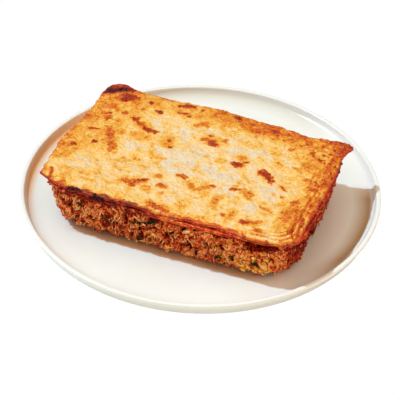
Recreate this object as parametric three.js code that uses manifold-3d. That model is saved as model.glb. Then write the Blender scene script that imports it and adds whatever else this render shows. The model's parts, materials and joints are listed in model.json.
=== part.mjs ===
// A rectangular slab of baked Mexican casserole on a flat round dinner plate.
// Millimetres, +Z up. The origin is the centre of the plate's foot, on the table.
// From the bottom up: the plate, the crumbly filling, a sauce-soaked tortilla sheet and the baked cheese.

import * as THREE from "three";
import { mergeVertices } from "three/addons/utils/BufferGeometryUtils.js";
import Module from "manifold-3d";

const wasm = await Module();
wasm.setup();

// The plate
const plateDiameter = 260;
const plateHeight = 15; // foot to the top of the rim
const rimWidth = 3.5; // the narrow flat top of the rim
const floorDepth = 6.5; // rim top down to the eating surface
const floorThickness = 5.3;
const floorRadius = 119; // where the floor turns up into the cove
const wallSlant = 4.2; // how far the outer wall leans in on its way down
const footRadius = 86;
const footWidth = 6;
const plateSegments = 72;

// The slab
const slabCentre = { x: -2.5, y: -13.2 };
const slabTurn = THREE.MathUtils.degToRad(-20.6);
const slabHeight = 38; // above the plate's floor
const contactGap = 0.3; // left between two pieces that rest on each other
const cheeseThickness = 3.8;
const tortillaThickness = 2.6;
const cheeseSize = { length: 190, width: 128, offsetU: -2, offsetV: 1.5 };

// The filling widens from the bottom up, as the tray that it was baked in did.
const trayLevels = [
  { z: contactGap, length: 168, width: 106, corner: 20 },
  { z: 3, length: 178, width: 116, corner: 24 },
  { z: 9, length: 183, width: 120, corner: 24 },
  { z: 33, length: 188, width: 124, corner: 22 },
];
const fillingSides = 168; // points round the filling
const fillingLevels = 11;
const crumbDepth = 1.1; // how far single crumbs stand in and out of the side
const crumbRise = 0.6; // how far they shift up and down
const lumpDepth = 1.2; // how far the larger lumps stand in and out
const lumpLength = 13;

// The cheese hangs over the filling. Its corners, anticlockwise from the back right, are rounded
// by different amounts, and two of them turn up.
const cheeseCorners = { backRight: 5, backLeft: 7, frontLeft: 9, frontRight: 11 };
const cheeseCells = { along: 32, across: 22 }; // the grid of its upper face
const sheetSides = 2 * (cheeseCells.along + cheeseCells.across); // points round both sheets
const lipThickness = 2.2; // the cheese thins out towards its edge
const lipDrop = 0.9; // and falls a little
const lipRipple = { height: 0.5, fast: 0.55, slow: 0.21 }; // small waves along the edge
const curls = [
  { u: -92, v: 62, lift: 5.2, spread: 9 }, // burnt back left corner
  { u: 94, v: 61, lift: 1.6, spread: 7 }, // back right corner
  { u: -96, v: -53, lift: 0.8, spread: 8 }, // front left corner
];
// Where the cheese's edge swells out or draws in: the place along the side, how far, over what length.
const edgeSwells = {
  left: [{ at: -16, reach: 3.6, spread: 24 }],
  back: [
    { at: -6, reach: 2.6, spread: 20 },
    { at: 62, reach: -3.2, spread: 22 },
  ],
  right: [{ at: 34, reach: 1.6, spread: 16 }],
  front: [
    { at: 68, reach: 1.3, spread: 11 },
    { at: 38, reach: -1.6, spread: 9 },
    { at: -58, reach: 1, spread: 9 },
  ],
};
// The largest browned blisters of the cheese: place, length, width and turn in degrees.
const blisters = [
  { u: -52, v: 24, length: 24, width: 7, turn: -27 },
  { u: -67, v: 0, length: 26, width: 10, turn: -53 },
  { u: -1, v: 26, length: 15, width: 8, turn: 9 },
  { u: -33, v: -38, length: 19, width: 7, turn: 17 },
  { u: 4, v: -27, length: 24, width: 6, turn: -20 },
  { u: -29, v: 12, length: 16, width: 9, turn: 46 },
  { u: 27, v: 10, length: 12, width: 9, turn: 29 },
  { u: 49, v: 4, length: 14, width: 8, turn: -40 },
  { u: 43, v: -21, length: 16, width: 6, turn: -20 },
  { u: 57, v: -47, length: 16, width: 6, turn: 35 },
  { u: 76, v: -22, length: 23, width: 7, turn: 62 },
  { u: 62, v: -32, length: 15, width: 4, turn: -23 },
];
const blisterHeight = 0.9;
const waveHeight = 0.5; // the slow rise and fall of the cheese
const waveLength = 34;

// The tortilla sheet's edge is two thin leaves: how far it stands out at shares of its thickness.
const leaves = [
  { share: 0, out: -0.6 },
  { share: 0.22, out: 0.9 },
  { share: 0.45, out: -0.5 },
  { share: 0.78, out: 1.3 },
  { share: 1, out: 0 },
];
const leafRipple = { height: 0.5, fast: 1.9, slow: 0.37 };
const slot = { u: 75, halfLength: 11, depth: 2.6 }; // the edge draws in at the front right

// Bits that stand out of the crumbly side
const crumbCount = 44;
const crumbRadius = { least: 1.5, most: 3.1 };
const pepperCount = 9;
const pepperSize = { length: 9, width: 2.8, thickness: 1.6 };
const bitProud = 0.7; // how far the middle of a pepper strip stands out of the side
const flake = { u: 90.6, v: -35, z: 5.4, radius: 3.2 }; // low on the right side

// Seeded numbers from 0 to 1
function randomFrom(seed) {
  let state = seed;
  return () => {
    state = (state + 0x6d2b79f5) | 0;
    let t = Math.imul(state ^ (state >>> 15), 1 | state);
    t = (t + Math.imul(t ^ (t >>> 7), 61 | t)) ^ t;
    return ((t ^ (t >>> 14)) >>> 0) / 4294967296;
  };
}

// A smooth lumpy number from -1 to 1 at any place, with lumps about size wide
function lumps(x, y, z, size) {
  const k = (2 * Math.PI) / (size * 2);
  return (
    Math.sin(k * x + 1.7 * Math.sin(k * 0.83 * y + 2.1)) *
    Math.sin(k * 1.13 * y + 1.3 * Math.sin(k * 0.71 * z + 0.6)) *
    Math.cos(k * 0.92 * z + 1.9 * Math.sin(k * 0.64 * x))
  );
}

// A rounded rectangle, anticlockwise from the middle of its right side. corners are the radii of the
// back right, back left, front left and front right corner.
function roundedRectangle(length, width, corners) {
  const [backRight, backLeft, frontLeft, frontRight] = corners;
  const x = length / 2;
  const y = width / 2;
  const outline = new THREE.Path();
  outline.moveTo(x, 0);
  outline.lineTo(x, y - backRight);
  outline.absarc(x - backRight, y - backRight, backRight, 0, Math.PI / 2);
  outline.lineTo(-x + backLeft, y);
  outline.absarc(-x + backLeft, y - backLeft, backLeft, Math.PI / 2, Math.PI);
  outline.lineTo(-x, -y + frontLeft);
  outline.absarc(-x + frontLeft, -y + frontLeft, frontLeft, Math.PI, 1.5 * Math.PI);
  outline.lineTo(x - frontRight, -y);
  outline.absarc(x - frontRight, -y + frontRight, frontRight, 1.5 * Math.PI, 2 * Math.PI);
  outline.lineTo(x, 0);
  return outline;
}

// The place at a share of the way round an outline, with its outward normal
function placeOn(outline, share) {
  const point = outline.getPointAt(share);
  const along = outline.getTangentAt(share);
  return { u: point.x, v: point.y, normalU: along.y, normalV: -along.x };
}

function placesOn(outline, count) {
  return Array.from({ length: count }, (_, i) => placeOn(outline, i / count));
}

// A closed body from a stack of rings, from its flat bottom face out and up to its top face. The top is
// flat too, unless a cover is given, whose rim lies on the last ring.
function stackedBody(rings, cover = null) {
  const count = rings[0].length;
  const positions = rings.flat().flatMap((p) => [p.u, p.v, p.z]);
  const faces = [];
  const flat = (ring) => THREE.ShapeUtils.triangulateShape(ring.map((p) => new THREE.Vector2(p.u, p.v)), []);
  for (const [a, b, c] of flat(rings[0])) faces.push(a, c, b);
  for (let level = 0; level + 1 < rings.length; level++) {
    for (let i = 0; i < count; i++) {
      const here = level * count + i;
      const next = level * count + ((i + 1) % count);
      const crossed = (level + i) % 2; // neighbouring cells are split along opposite diagonals
      if (crossed) faces.push(here, next, here + count, next, next + count, here + count);
      else faces.push(here, next, next + count, here, next + count, here + count);
    }
  }
  const top = (rings.length - 1) * count;
  if (cover) {
    const start = rings.length * count;
    positions.push(...cover.places.flatMap((p) => [p.u, p.v, p.z]));
    faces.push(...cover.faces.map((index) => start + index));
  } else {
    for (const [a, b, c] of flat(rings.at(-1))) faces.push(top + a, top + b, top + c);
  }
  const geometry = new THREE.BufferGeometry();
  geometry.setAttribute("position", new THREE.Float32BufferAttribute(positions, 3));
  geometry.setIndex(faces);
  return mergeVertices(geometry, 1e-4);
}

function asSolid(geometry) {
  const bare = geometry.clone();
  bare.deleteAttribute("normal");
  bare.deleteAttribute("uv");
  const merged = mergeVertices(bare, 1e-4);
  return new wasm.Manifold(
    new wasm.Mesh({
      numProp: 3,
      vertProperties: merged.attributes.position.array,
      triVerts: new Uint32Array(merged.index.array),
    }),
  );
}

function asGeometry(solid) {
  const { vertProperties, triVerts } = solid.getMesh();
  const geometry = new THREE.BufferGeometry();
  geometry.setAttribute("position", new THREE.Float32BufferAttribute(vertProperties, 3));
  geometry.setIndex(new THREE.Uint32BufferAttribute(triVerts, 1));
  return geometry;
}

// The plate is one turned profile: foot, steep outer wall, narrow rim, cove and flat floor.
function plateGeometry() {
  const rim = plateDiameter / 2;
  const floor = plateHeight - floorDepth;
  const underside = floor - floorThickness;
  const wallFoot = rim - wallSlant;
  const innerRim = rim - rimWidth;
  const profile = new THREE.Path();
  profile.moveTo(0, underside);
  profile.lineTo(footRadius - footWidth - 1.5, underside);
  profile.lineTo(footRadius - footWidth + 0.3, 0);
  profile.lineTo(footRadius - 0.4, 0);
  profile.lineTo(footRadius + 1.6, underside - 0.3);
  profile.lineTo(wallFoot - 4.5, underside);
  profile.quadraticCurveTo(wallFoot - 0.2, underside + 0.2, wallFoot + 0.7, underside + 3);
  profile.lineTo(rim, plateHeight - 1.1);
  profile.quadraticCurveTo(rim, plateHeight, rim - 1, plateHeight);
  profile.lineTo(innerRim + 0.6, plateHeight);
  profile.quadraticCurveTo(innerRim - 0.2, plateHeight, innerRim - 0.3, plateHeight - 0.9);
  profile.quadraticCurveTo(innerRim - 1, floor, floorRadius, floor);
  profile.lineTo(0, floor);
  return new THREE.LatheGeometry(profile.getPoints(3), plateSegments).rotateX(Math.PI / 2);
}

// The length, width and corner of the filling at a height, read off the tray's levels
function trayAt(z) {
  const upper = Math.max(1, trayLevels.findIndex((level) => level.z >= z));
  const [a, b] = [trayLevels[upper - 1], trayLevels[upper]];
  const t = (z - a.z) / (b.z - a.z);
  const mix = (key) => THREE.MathUtils.lerp(a[key], b[key], t);
  return { length: mix("length"), width: mix("width"), corner: mix("corner") };
}

function trayOutline(z) {
  const { length, width, corner } = trayAt(z);
  return roundedRectangle(length, width, Array(4).fill(corner));
}

const tortillaTop = slabHeight - cheeseThickness - contactGap;
const tortillaBottom = tortillaTop - tortillaThickness;
const fillingTop = tortillaBottom - contactGap;

// The crumbly block: its side is all crumbs and lumps, and single bits stand out of it.
function fillingGeometry() {
  const random = randomFrom(41);
  const rings = [];
  for (let level = 0; level < fillingLevels; level++) {
    const share = level / (fillingLevels - 1);
    const z = THREE.MathUtils.lerp(contactGap, fillingTop, share ** 1.25);
    const isFace = level === 0 || level === fillingLevels - 1;
    rings.push(
      placesOn(trayOutline(z), fillingSides).map((p) => {
        const crumb = (random() - 0.5) * 2 * crumbDepth;
        const lump = lumps(p.u, p.v, z * 1.6, lumpLength) * lumpDepth;
        const out = isFace ? -Math.abs(crumb) : crumb + lump;
        const rise = isFace ? 0 : (random() - 0.5) * 2 * crumbRise;
        return { u: p.u + p.normalU * out, v: p.v + p.normalV * out, z: z + rise };
      }),
    );
  }
  let body = asSolid(stackedBody(rings));
  for (const bit of [...crumbs(random), ...peppers(random), flakeGeometry()]) body = body.add(asSolid(bit));
  return asGeometry(body);
}

function crumbGeometry(radius, random) {
  const geometry = new THREE.IcosahedronGeometry(radius, 0);
  geometry.scale(1, 0.7 + 0.4 * random(), 0.65 + 0.35 * random());
  geometry.rotateX(random() * Math.PI);
  return geometry.rotateZ(random() * Math.PI);
}

function crumbs(random) {
  return Array.from({ length: crumbCount }, (_, i) => {
    const radius = THREE.MathUtils.lerp(crumbRadius.least, crumbRadius.most, random());
    const z = THREE.MathUtils.lerp(radius + 1.5, fillingTop - radius - 1.2, random());
    const place = placeOn(trayOutline(z), (i + random() * 0.8) / crumbCount);
    const out = 0.1 * radius;
    const bit = crumbGeometry(radius, random);
    return bit.translate(place.u + place.normalU * out, place.v + place.normalV * out, z);
  });
}

function peppers(random) {
  return Array.from({ length: pepperCount }, (_, i) => {
    const z = THREE.MathUtils.lerp(7, fillingTop - 5, random());
    const place = placeOn(trayOutline(z), (i + random() * 0.7) / pepperCount);
    const strip = new THREE.BoxGeometry(pepperSize.length, pepperSize.thickness, pepperSize.width);
    strip.rotateY((random() - 0.5) * 0.7);
    strip.rotateZ(Math.atan2(place.normalU, -place.normalV));
    return strip.translate(place.u + place.normalU * bitProud, place.v + place.normalV * bitProud, z);
  });
}

function flakeGeometry() {
  const bit = new THREE.IcosahedronGeometry(flake.radius, 0).scale(1, 0.8, 0.45);
  return bit.translate(flake.u, flake.v, flake.z);
}

// A bump of height 1 and the given half length, centred on a place
const bump = (x, centre, halfLength) => Math.exp(-(((x - centre) / halfLength) ** 2));

// The tortilla sheet lies flat between filling and cheese.
function tortillaGeometry() {
  const outline = placesOn(trayOutline(fillingTop), sheetSides);
  const rings = leaves.map(({ share, out }) =>
    outline.map((p, i) => {
      const ripple = leafRipple.height * Math.sin(i * leafRipple.fast) * Math.sin(i * leafRipple.slow);
      const drawnIn = p.v < 0 ? slot.depth * bump(p.u, slot.u, slot.halfLength) : 0;
      const reach = out + ripple - drawnIn;
      const z = tortillaBottom + share * tortillaThickness;
      return { u: p.u + p.normalU * reach, v: p.v + p.normalV * reach, z };
    }),
  );
  return stackedBody(rings);
}

// How far the swells push the cheese's edge out at a point of its outline
function swellAt(p) {
  const horizontal = Math.abs(p.normalU) > Math.abs(p.normalV);
  const side = horizontal ? (p.normalU > 0 ? "right" : "left") : p.normalV > 0 ? "back" : "front";
  const along = horizontal ? p.v : p.u;
  const ripple = Math.sin(along * lipRipple.fast) * Math.sin(along * lipRipple.slow + 1);
  return edgeSwells[side].reduce(
    (sum, { at, reach, spread }) => sum + reach * bump(along, at, spread),
    lipRipple.height * ripple,
  );
}

// How far the corners of the cheese turn up at a place
function curlAt(u, v) {
  return curls.reduce((sum, curl) => {
    const distance = Math.hypot(u - curl.u, v - curl.v);
    return sum + curl.lift * bump(distance, 0, curl.spread);
  }, 0);
}

// The relief of the cheese's upper face: slow waves and browned blisters
function reliefAt(u, v) {
  const wave = waveHeight * lumps(u, v, 0, waveLength);
  return blisters.reduce((sum, { u: cu, v: cv, length, width, turn }) => {
    const angle = THREE.MathUtils.degToRad(turn);
    const along = (u - cu) * Math.cos(angle) + (v - cv) * Math.sin(angle);
    const across = (v - cv) * Math.cos(angle) - (u - cu) * Math.sin(angle);
    const distance = Math.hypot(along / (length / 2), across / (width / 2));
    return sum + blisterHeight * bump(distance, 0, 1);
  }, wave);
}

const cheeseEdge = roundedRectangle(cheeseSize.length, cheeseSize.width, [
  cheeseCorners.backRight,
  cheeseCorners.backLeft,
  cheeseCorners.frontLeft,
  cheeseCorners.frontRight,
]);

// The place at a share of the way round the cheese, drawn in towards its centre to a fraction of its size
function cheesePlace(share, fraction) {
  const p = placeOn(cheeseEdge, share);
  const out = swellAt(p);
  return {
    u: (p.u + p.normalU * out) * fraction + cheeseSize.offsetU,
    v: (p.v + p.normalV * out) * fraction + cheeseSize.offsetV,
  };
}

// How far round the grid's border a cell corner lies. x and y run from -1 to 1 over the grid, and one
// of them is at its limit. The share starts in the middle of the right side.
function shareRound(x, y) {
  const halfAcross = cheeseCells.across / 2;
  const halfAlong = cheeseCells.along / 2;
  const toBackLeft = halfAcross + 2 * halfAlong;
  let cells = y >= 0 ? halfAcross * y : sheetSides + halfAcross * y;
  if (y === 1) cells = halfAcross + halfAlong * (1 - x);
  else if (x === -1) cells = toBackLeft + halfAcross * (1 - y);
  else if (y === -1) cells = toBackLeft + 2 * halfAcross + halfAlong * (1 + x);
  return (cells % sheetSides) / sheetSides;
}

// The cheese's upper face as a grid, whose border lies at the rim fraction of the outline
function cheeseCover(rimFraction, heightAt) {
  const { along, across } = cheeseCells;
  const places = [];
  const faces = [];
  for (let j = 0; j <= across; j++) {
    for (let i = 0; i <= along; i++) {
      const x = (2 * i) / along - 1;
      const y = (2 * j) / across - 1;
      const fraction = Math.max(Math.abs(x), Math.abs(y));
      const share = fraction > 0 ? shareRound(x / fraction, y / fraction) : 0;
      const place = cheesePlace(share, fraction * rimFraction);
      places.push({ ...place, z: heightAt(place, fraction) });
      if (i === along || j === across) continue;
      const corner = j * (along + 1) + i;
      const above = corner + along + 1;
      faces.push(corner, corner + 1, above + 1, corner, above + 1, above);
    }
  }
  return { places, faces };
}

// The cheese is a sheet with a flat underside where it lies on the tortilla, a thin wavy lip that
// overhangs the filling, and turned-up corners.
function cheeseGeometry() {
  const underside = slabHeight - cheeseThickness;
  const rimFraction = 0.985;
  const shares = Array.from({ length: sheetSides }, (_, i) => i / sheetSides);
  const ring = (fraction, height) =>
    shares.map((share) => {
      const place = cheesePlace(share, fraction);
      return { ...place, z: height + curlAt(place.u, place.v) };
    });
  const upperHeight = (place, fraction) =>
    slabHeight - lipDrop * fraction ** 10 + reliefAt(place.u, place.v) + curlAt(place.u, place.v);
  const lipTop = slabHeight - lipDrop;
  const rings = [
    ring(0.9, 0).map((place) => ({ ...place, z: underside })),
    ring(0.965, underside),
    ring(0.993, lipTop - lipThickness),
    ring(1, lipTop - lipThickness / 2),
    shares.map((share) => {
      const place = cheesePlace(share, rimFraction);
      return { ...place, z: upperHeight(place, 1) };
    }),
  ];
  return stackedBody(rings, cheeseCover(rimFraction, upperHeight));
}

const finishes = {
  glaze: new THREE.MeshStandardMaterial({ color: "#f3f2ea", roughness: 0.18, metalness: 0 }),
  filling: new THREE.MeshStandardMaterial({ color: "#a8572a", roughness: 0.6, metalness: 0 }),
  tortilla: new THREE.MeshStandardMaterial({ color: "#b5481f", roughness: 0.45, metalness: 0 }),
  cheese: new THREE.MeshStandardMaterial({ color: "#eec684", roughness: 0.5, metalness: 0 }),
};

function named(name, geometry, material) {
  const mesh = new THREE.Mesh(geometry, material);
  mesh.name = name;
  return mesh;
}

const slab = new THREE.Group();
slab.add(
  named("filling", fillingGeometry(), finishes.filling),
  named("tortilla_layer", tortillaGeometry(), finishes.tortilla),
  named("cheese_top", cheeseGeometry(), finishes.cheese),
);
slab.position.set(slabCentre.x, slabCentre.y, plateHeight - floorDepth);
slab.rotation.z = slabTurn;

const plateOfCasserole = new THREE.Group();
plateOfCasserole.add(named("plate", plateGeometry(), finishes.glaze), slab);

export default plateOfCasserole;
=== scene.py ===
import json
import math
import random

import bmesh
import bpy
import numpy as np
from mathutils import Matrix, Vector, noise

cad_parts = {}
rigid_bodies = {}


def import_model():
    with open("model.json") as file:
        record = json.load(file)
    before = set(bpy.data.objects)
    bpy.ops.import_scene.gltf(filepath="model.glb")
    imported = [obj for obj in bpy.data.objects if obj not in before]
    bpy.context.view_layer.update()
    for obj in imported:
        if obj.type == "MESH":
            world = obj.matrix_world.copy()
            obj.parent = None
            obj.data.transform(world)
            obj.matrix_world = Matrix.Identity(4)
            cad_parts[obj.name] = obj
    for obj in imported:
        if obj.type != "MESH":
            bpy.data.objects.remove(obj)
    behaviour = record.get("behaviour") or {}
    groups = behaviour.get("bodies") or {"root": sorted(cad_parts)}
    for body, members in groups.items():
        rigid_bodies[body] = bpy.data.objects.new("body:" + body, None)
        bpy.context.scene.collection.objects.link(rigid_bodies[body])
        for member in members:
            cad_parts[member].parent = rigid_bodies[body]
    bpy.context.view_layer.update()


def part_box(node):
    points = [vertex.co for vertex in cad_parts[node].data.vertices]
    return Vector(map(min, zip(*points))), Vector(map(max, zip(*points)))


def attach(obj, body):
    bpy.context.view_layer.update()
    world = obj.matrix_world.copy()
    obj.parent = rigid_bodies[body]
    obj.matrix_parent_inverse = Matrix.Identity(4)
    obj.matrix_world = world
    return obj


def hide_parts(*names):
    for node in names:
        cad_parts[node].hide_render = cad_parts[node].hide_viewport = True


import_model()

# The food is shaped in the slab's own millimetres: u along it, v across it towards the back,
# z up from the plate's floor. setDown() turns it into metres and lays it on the plate.
mm = 0.001
slab = {
    "centreX": -2.5,
    "centreY": -13.2,
    "turn": -20.6,
    "height": 38.0,
    "contactGap": 0.3,
}
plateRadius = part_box("plate")[1].x / mm
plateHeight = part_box("plate")[1].z / mm
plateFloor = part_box("filling")[0].z / mm - slab["contactGap"]
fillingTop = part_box("filling")[1].z / mm - plateFloor
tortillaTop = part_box("tortilla_layer")[1].z / mm - plateFloor
cheeseUnderside = tortillaTop + slab["contactGap"]


# Helpers for meshes and numbers

def objectMode():
    bpy.ops.object.mode_set(mode="OBJECT")


def deselectAll():
    if bpy.context.mode != "OBJECT":
        objectMode()
    bpy.ops.object.select_all(action="DESELECT")


def pick(piece):
    deselectAll()
    piece.select_set(True)
    bpy.context.view_layer.objects.active = piece


def justAdded(name):
    piece = bpy.context.object
    piece.name = piece.data.name = name
    return piece


def editMode():
    bpy.ops.object.mode_set(mode="EDIT")
    bpy.ops.mesh.select_all(action="SELECT")


def numbersOf(items, field, width=3):
    flat = np.empty(len(items) * width)
    items.foreach_get(field, flat)
    return flat.reshape(-1, width)


def vertsOf(piece):
    return numbersOf(piece.data.vertices, "co")


def normalsOf(piece):
    return numbersOf(piece.data.vertex_normals, "vector")


def painted(piece, name):
    return numbersOf(piece.data.attributes[name].data, "value", 1).ravel()


def moveVerts(piece, points):
    piece.data.vertices.foreach_set("co", np.asarray(points, dtype=float).ravel())
    piece.data.update()


def paint(piece, name, values):
    layer = piece.data.attributes.get(name) or piece.data.attributes.new(name, "FLOAT", "POINT")
    layer.data.foreach_set("value", np.asarray(values, dtype=float))


def faceOutwards(piece):
    pick(piece)
    editMode()
    bpy.ops.mesh.normals_make_consistent(inside=False)
    objectMode()


def sortItems(items, key):
    ranks = {item: rank for rank, item in enumerate(sorted(items, key=key))}
    items.sort(key=ranks.get)
    items.index_update()


# Extrude leaves points and faces in an order that changes from run to run,
# and what is strewn over them would change with it.
def inOrder(piece):
    work = bmesh.new()
    work.from_mesh(piece.data)
    sortItems(work.verts, lambda vert: tuple(vert.co))
    sortItems(work.faces, lambda face: sorted(vert.index for vert in face.verts))
    work.to_mesh(piece.data)
    work.free()


def applyModifiers(piece):
    pick(piece)
    for modifier in list(piece.modifiers):
        bpy.ops.object.modifier_apply(modifier=modifier.name)


def dropPiece(piece):
    mesh = piece.data
    bpy.data.objects.remove(piece)
    bpy.data.meshes.remove(mesh)


def setDown(piece):
    onPlate = (slab["centreX"] * mm, slab["centreY"] * mm, plateFloor * mm)
    turned = Matrix.Rotation(math.radians(slab["turn"]), 4, "Z")
    piece.data.transform(Matrix.Translation(onPlate) @ turned @ Matrix.Scale(mm, 4))
    piece.data.update()


def finishPiece(piece, material, node=None):
    piece.data.materials.clear()
    piece.data.materials.append(material)
    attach(piece, "root")
    if node:
        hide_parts(node)
    return piece


# Smooth lumpy numbers from about -1 to 1 at each point, with lumps about size wide
def lumpy(points, size, seed=0, octaves=3):
    shift = Vector((seed * 17.3, seed * 5.1, seed * 9.7))
    values = [noise.fractal(Vector(p) / size + shift, 0.9, 2.1, octaves) for p in points]
    return np.array(values)


# Places on the flat, or at a level, to read lumpy numbers at
def flatAt(u, v, level=0):
    return np.column_stack([u, v, np.full(len(u), float(level))])


def bump(x, centre, halfLength):
    return np.exp(-(((x - centre) / halfLength) ** 2))


# The same about a place
def around(u, v, atU, atV, reach):
    return bump(np.hypot(u - atU, v - atV), 0, reach)


def smooth(x, low, high):
    t = np.clip((x - low) / (high - low), 0, 1)
    return t * t * (3 - 2 * t)


# A rounded rectangle at shares of the way round, anticlockwise from the middle of its right side:
# places and outward normals. corners are the radii from the back right corner on.
def roundedOutline(length, width, corners, shares, steps=12):
    x, y = length / 2, width / 2
    points = [(x, 0)]
    for radius, signX, signY, start in zip(corners, (1, -1, -1, 1), (1, 1, -1, -1), (0, 90, 180, 270)):
        for step in range(steps + 1):
            angle = math.radians(start + step * 90 / steps)
            across = signX * (x - radius) + radius * math.cos(angle)
            points.append((across, signY * (y - radius) + radius * math.sin(angle)))
    points = np.array(points + [(x, 0)])
    run = np.concatenate([[0], np.cumsum(np.linalg.norm(np.diff(points, axis=0), axis=1))])

    def at(share):
        where = (share % 1) * run[-1]
        return np.stack([np.interp(where, run, points[:, 0]), np.interp(where, run, points[:, 1])], 1)

    step = 0.8 / run[-1]
    along = at(shares + step) - at(shares - step)
    along /= np.linalg.norm(along, axis=1)[:, None]
    return at(shares), np.stack([along[:, 1], -along[:, 0]], 1)


# Shader helpers

def addNode(tree, kind, values=None, **settings):
    made = tree.nodes.new(kind)
    for name, value in settings.items():
        setattr(made, name, value)
    for key, value in (values or {}).items():
        if isinstance(value, bpy.types.NodeSocket):
            tree.links.new(value, made.inputs[key])
        else:
            made.inputs[key].default_value = value
    return made


def srgb(red, green, blue):
    channels = [c / 255 for c in (red, green, blue)]
    return tuple(c / 12.92 if c <= 0.04045 else ((c + 0.055) / 1.055) ** 2.4 for c in channels) + (1,)


def rampOf(tree, factor, stops):
    made = addNode(tree, "ShaderNodeValToRGB", {"Fac": factor})
    ramp = made.color_ramp
    while len(ramp.elements) < len(stops):
        ramp.elements.new(0.5)
    for element, (position, colour) in zip(ramp.elements, stops):
        element.position = position
        element.color = srgb(*colour)
    return made.outputs["Color"]


def maths(tree, operation, first, second=0.5, third=0.5, clamp=False):
    values = {0: first, 1: second, 2: third}
    return addNode(tree, "ShaderNodeMath", values, operation=operation, use_clamp=clamp).outputs[0]


def mixColour(tree, factor, first, second):
    return addNode(tree, "ShaderNodeMix", {0: factor, 6: first, 7: second}, data_type="RGBA").outputs[2]


def rangeOf(tree, value, start, end):
    return addNode(tree, "ShaderNodeMapRange", {"Value": value, 1: start, 2: end}).outputs[0]


def times(tree, first, *others):
    for other in others:
        first = maths(tree, "MULTIPLY", first, other)
    return first


# A value with noise from 0 to 1 stirred into it
def stirred(tree, value, noiseValue, amount, clamp=False):
    return maths(tree, "MULTIPLY_ADD", maths(tree, "SUBTRACT", noiseValue, 0.5), amount, value, clamp)


# The object's own place, or that place seen from a piece that lies turned on it, as x, y and z
def placeIn(tree, turn=0, centre=(0, 0, 0)):
    place = addNode(tree, "ShaderNodeTexCoord").outputs["Object"]
    local = addNode(tree, "ShaderNodeMapping", {"Vector": place}, vector_type="TEXTURE")
    local.inputs["Location"].default_value = centre
    local.inputs["Rotation"].default_value = (0, 0, math.radians(turn))
    return addNode(tree, "ShaderNodeSeparateXYZ", {0: local.outputs[0]}).outputs


def attributeOf(tree, name):
    return addNode(tree, "ShaderNodeAttribute", attribute_name=name).outputs["Fac"]


def shaderOf(material):
    return material.node_tree.nodes["Principled BSDF"]


def newMaterial(name, values):
    material = bpy.data.materials.new(name)
    material.use_nodes = True
    for key, value in values.items():
        shaderOf(material).inputs[key].default_value = value
    return material, material.node_tree


# Grain: soft noise in three sizes, from 0 to 1 about a half, in the object's own millimetres
def makeGrain():
    group = bpy.data.node_groups.new("foodGrain", "ShaderNodeTree")
    for name in ("patches", "grain", "specks"):
        group.interface.new_socket(name + " size", in_out="INPUT", socket_type="NodeSocketFloat")
        group.interface.new_socket(name, in_out="OUTPUT", socket_type="NodeSocketFloat")
    source = addNode(group, "NodeGroupInput")
    sink = addNode(group, "NodeGroupOutput")
    place = addNode(group, "ShaderNodeTexCoord").outputs["Object"]
    for name, detail in (("patches", 4), ("grain", 5), ("specks", 2)):
        scale = maths(group, "DIVIDE", 1 / mm, source.outputs[name + " size"])
        field = addNode(group, "ShaderNodeTexNoise", {"Vector": place, "Scale": scale, "Detail": detail})
        group.links.new(rangeOf(group, field.outputs["Fac"], 0.3, 0.7), sink.inputs[name])
    return group


foodGrain = makeGrain()


def grainIn(tree, patches, grain, specks):
    sizes = {"patches size": patches, "grain size": grain, "specks size": specks}
    return addNode(tree, "ShaderNodeGroup", sizes, node_tree=foodGrain).outputs


# The shader's colour, and its relief: heights with how deep each is, in mm
def withSkin(material, colour, *layers):
    tree = material.node_tree
    tree.links.new(colour, shaderOf(material).inputs["Base Color"])
    normal = None
    for height, depth in layers:
        values = {"Height": height, "Distance": depth * mm, "Strength": 1.0}
        if normal:
            values["Normal"] = normal
        normal = addNode(tree, "ShaderNodeBump", values).outputs["Normal"]
    tree.links.new(normal, shaderOf(material).inputs["Normal"])
    return material


# Camera and light: the photograph's own view, solved from the plate's rim and the slab's edges

camera = {
    "place": (-0.15, -969.12, 748.91),  # from the middle of the rim's top, mm
    "pitch": 38.155,  # degrees down
    "roll": 1.807,
    "focal": 1700 / 400,  # in widths of the frame
}


def inScene(name, data):
    made = bpy.data.objects.new(name, data)
    bpy.context.collection.objects.link(made)
    return made


def makeCamera():
    data = bpy.data.cameras.new("camera")
    made = inScene("camera", data)
    data.sensor_width = 36
    data.lens = camera["focal"] * data.sensor_width
    data.clip_start, data.clip_end = 0.05, 20
    tilt = Matrix.Rotation(math.radians(90 - camera["pitch"]), 4, "X")
    roll = Matrix.Rotation(math.radians(camera["roll"]), 4, "Z")
    x, y, z = camera["place"]
    made.matrix_world = Matrix.Translation((x * mm, y * mm, (z + plateHeight) * mm)) @ tilt @ roll
    bpy.context.scene.camera = made


light = {
    "sunAzimuth": 162.0,  # where it comes from, degrees anticlockwise from +X
    "sunElevation": 53.0,
    "sunStrength": 2.77,
    "sunColour": (0.54, 0.785, 0.945),
    "sunAngle": 2.0,
    "skyHigh": (1.02, 0.855, 0.65, 1),
    "skyFront": (0.34, 0.26, 0.17, 1),
    "skyFrontLow": (0.94, 0.95, 0.89, 1),
    "skyLeft": (0.7, 0.58, 0.46, 1),
    "skyRight": (1.85, 1.24, 0.88, 1),
    "skyBehind": (0.06, 0.04, 0.03, 1),
    # Over which part of a direction one sky turns into the next
    "leftToRight": (-0.3, 0.5),
    "toBehind": (-0.05, 0.45),
    "upInFront": (0.25, 0.45),
    "toFront": (-0.25, -0.7),
    "toHigh": (0.45, 0.85),
}
floorLook = {"size": 6, "colour": (0.84, 0.83, 0.79, 1), "seenStrength": 1.02}


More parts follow.
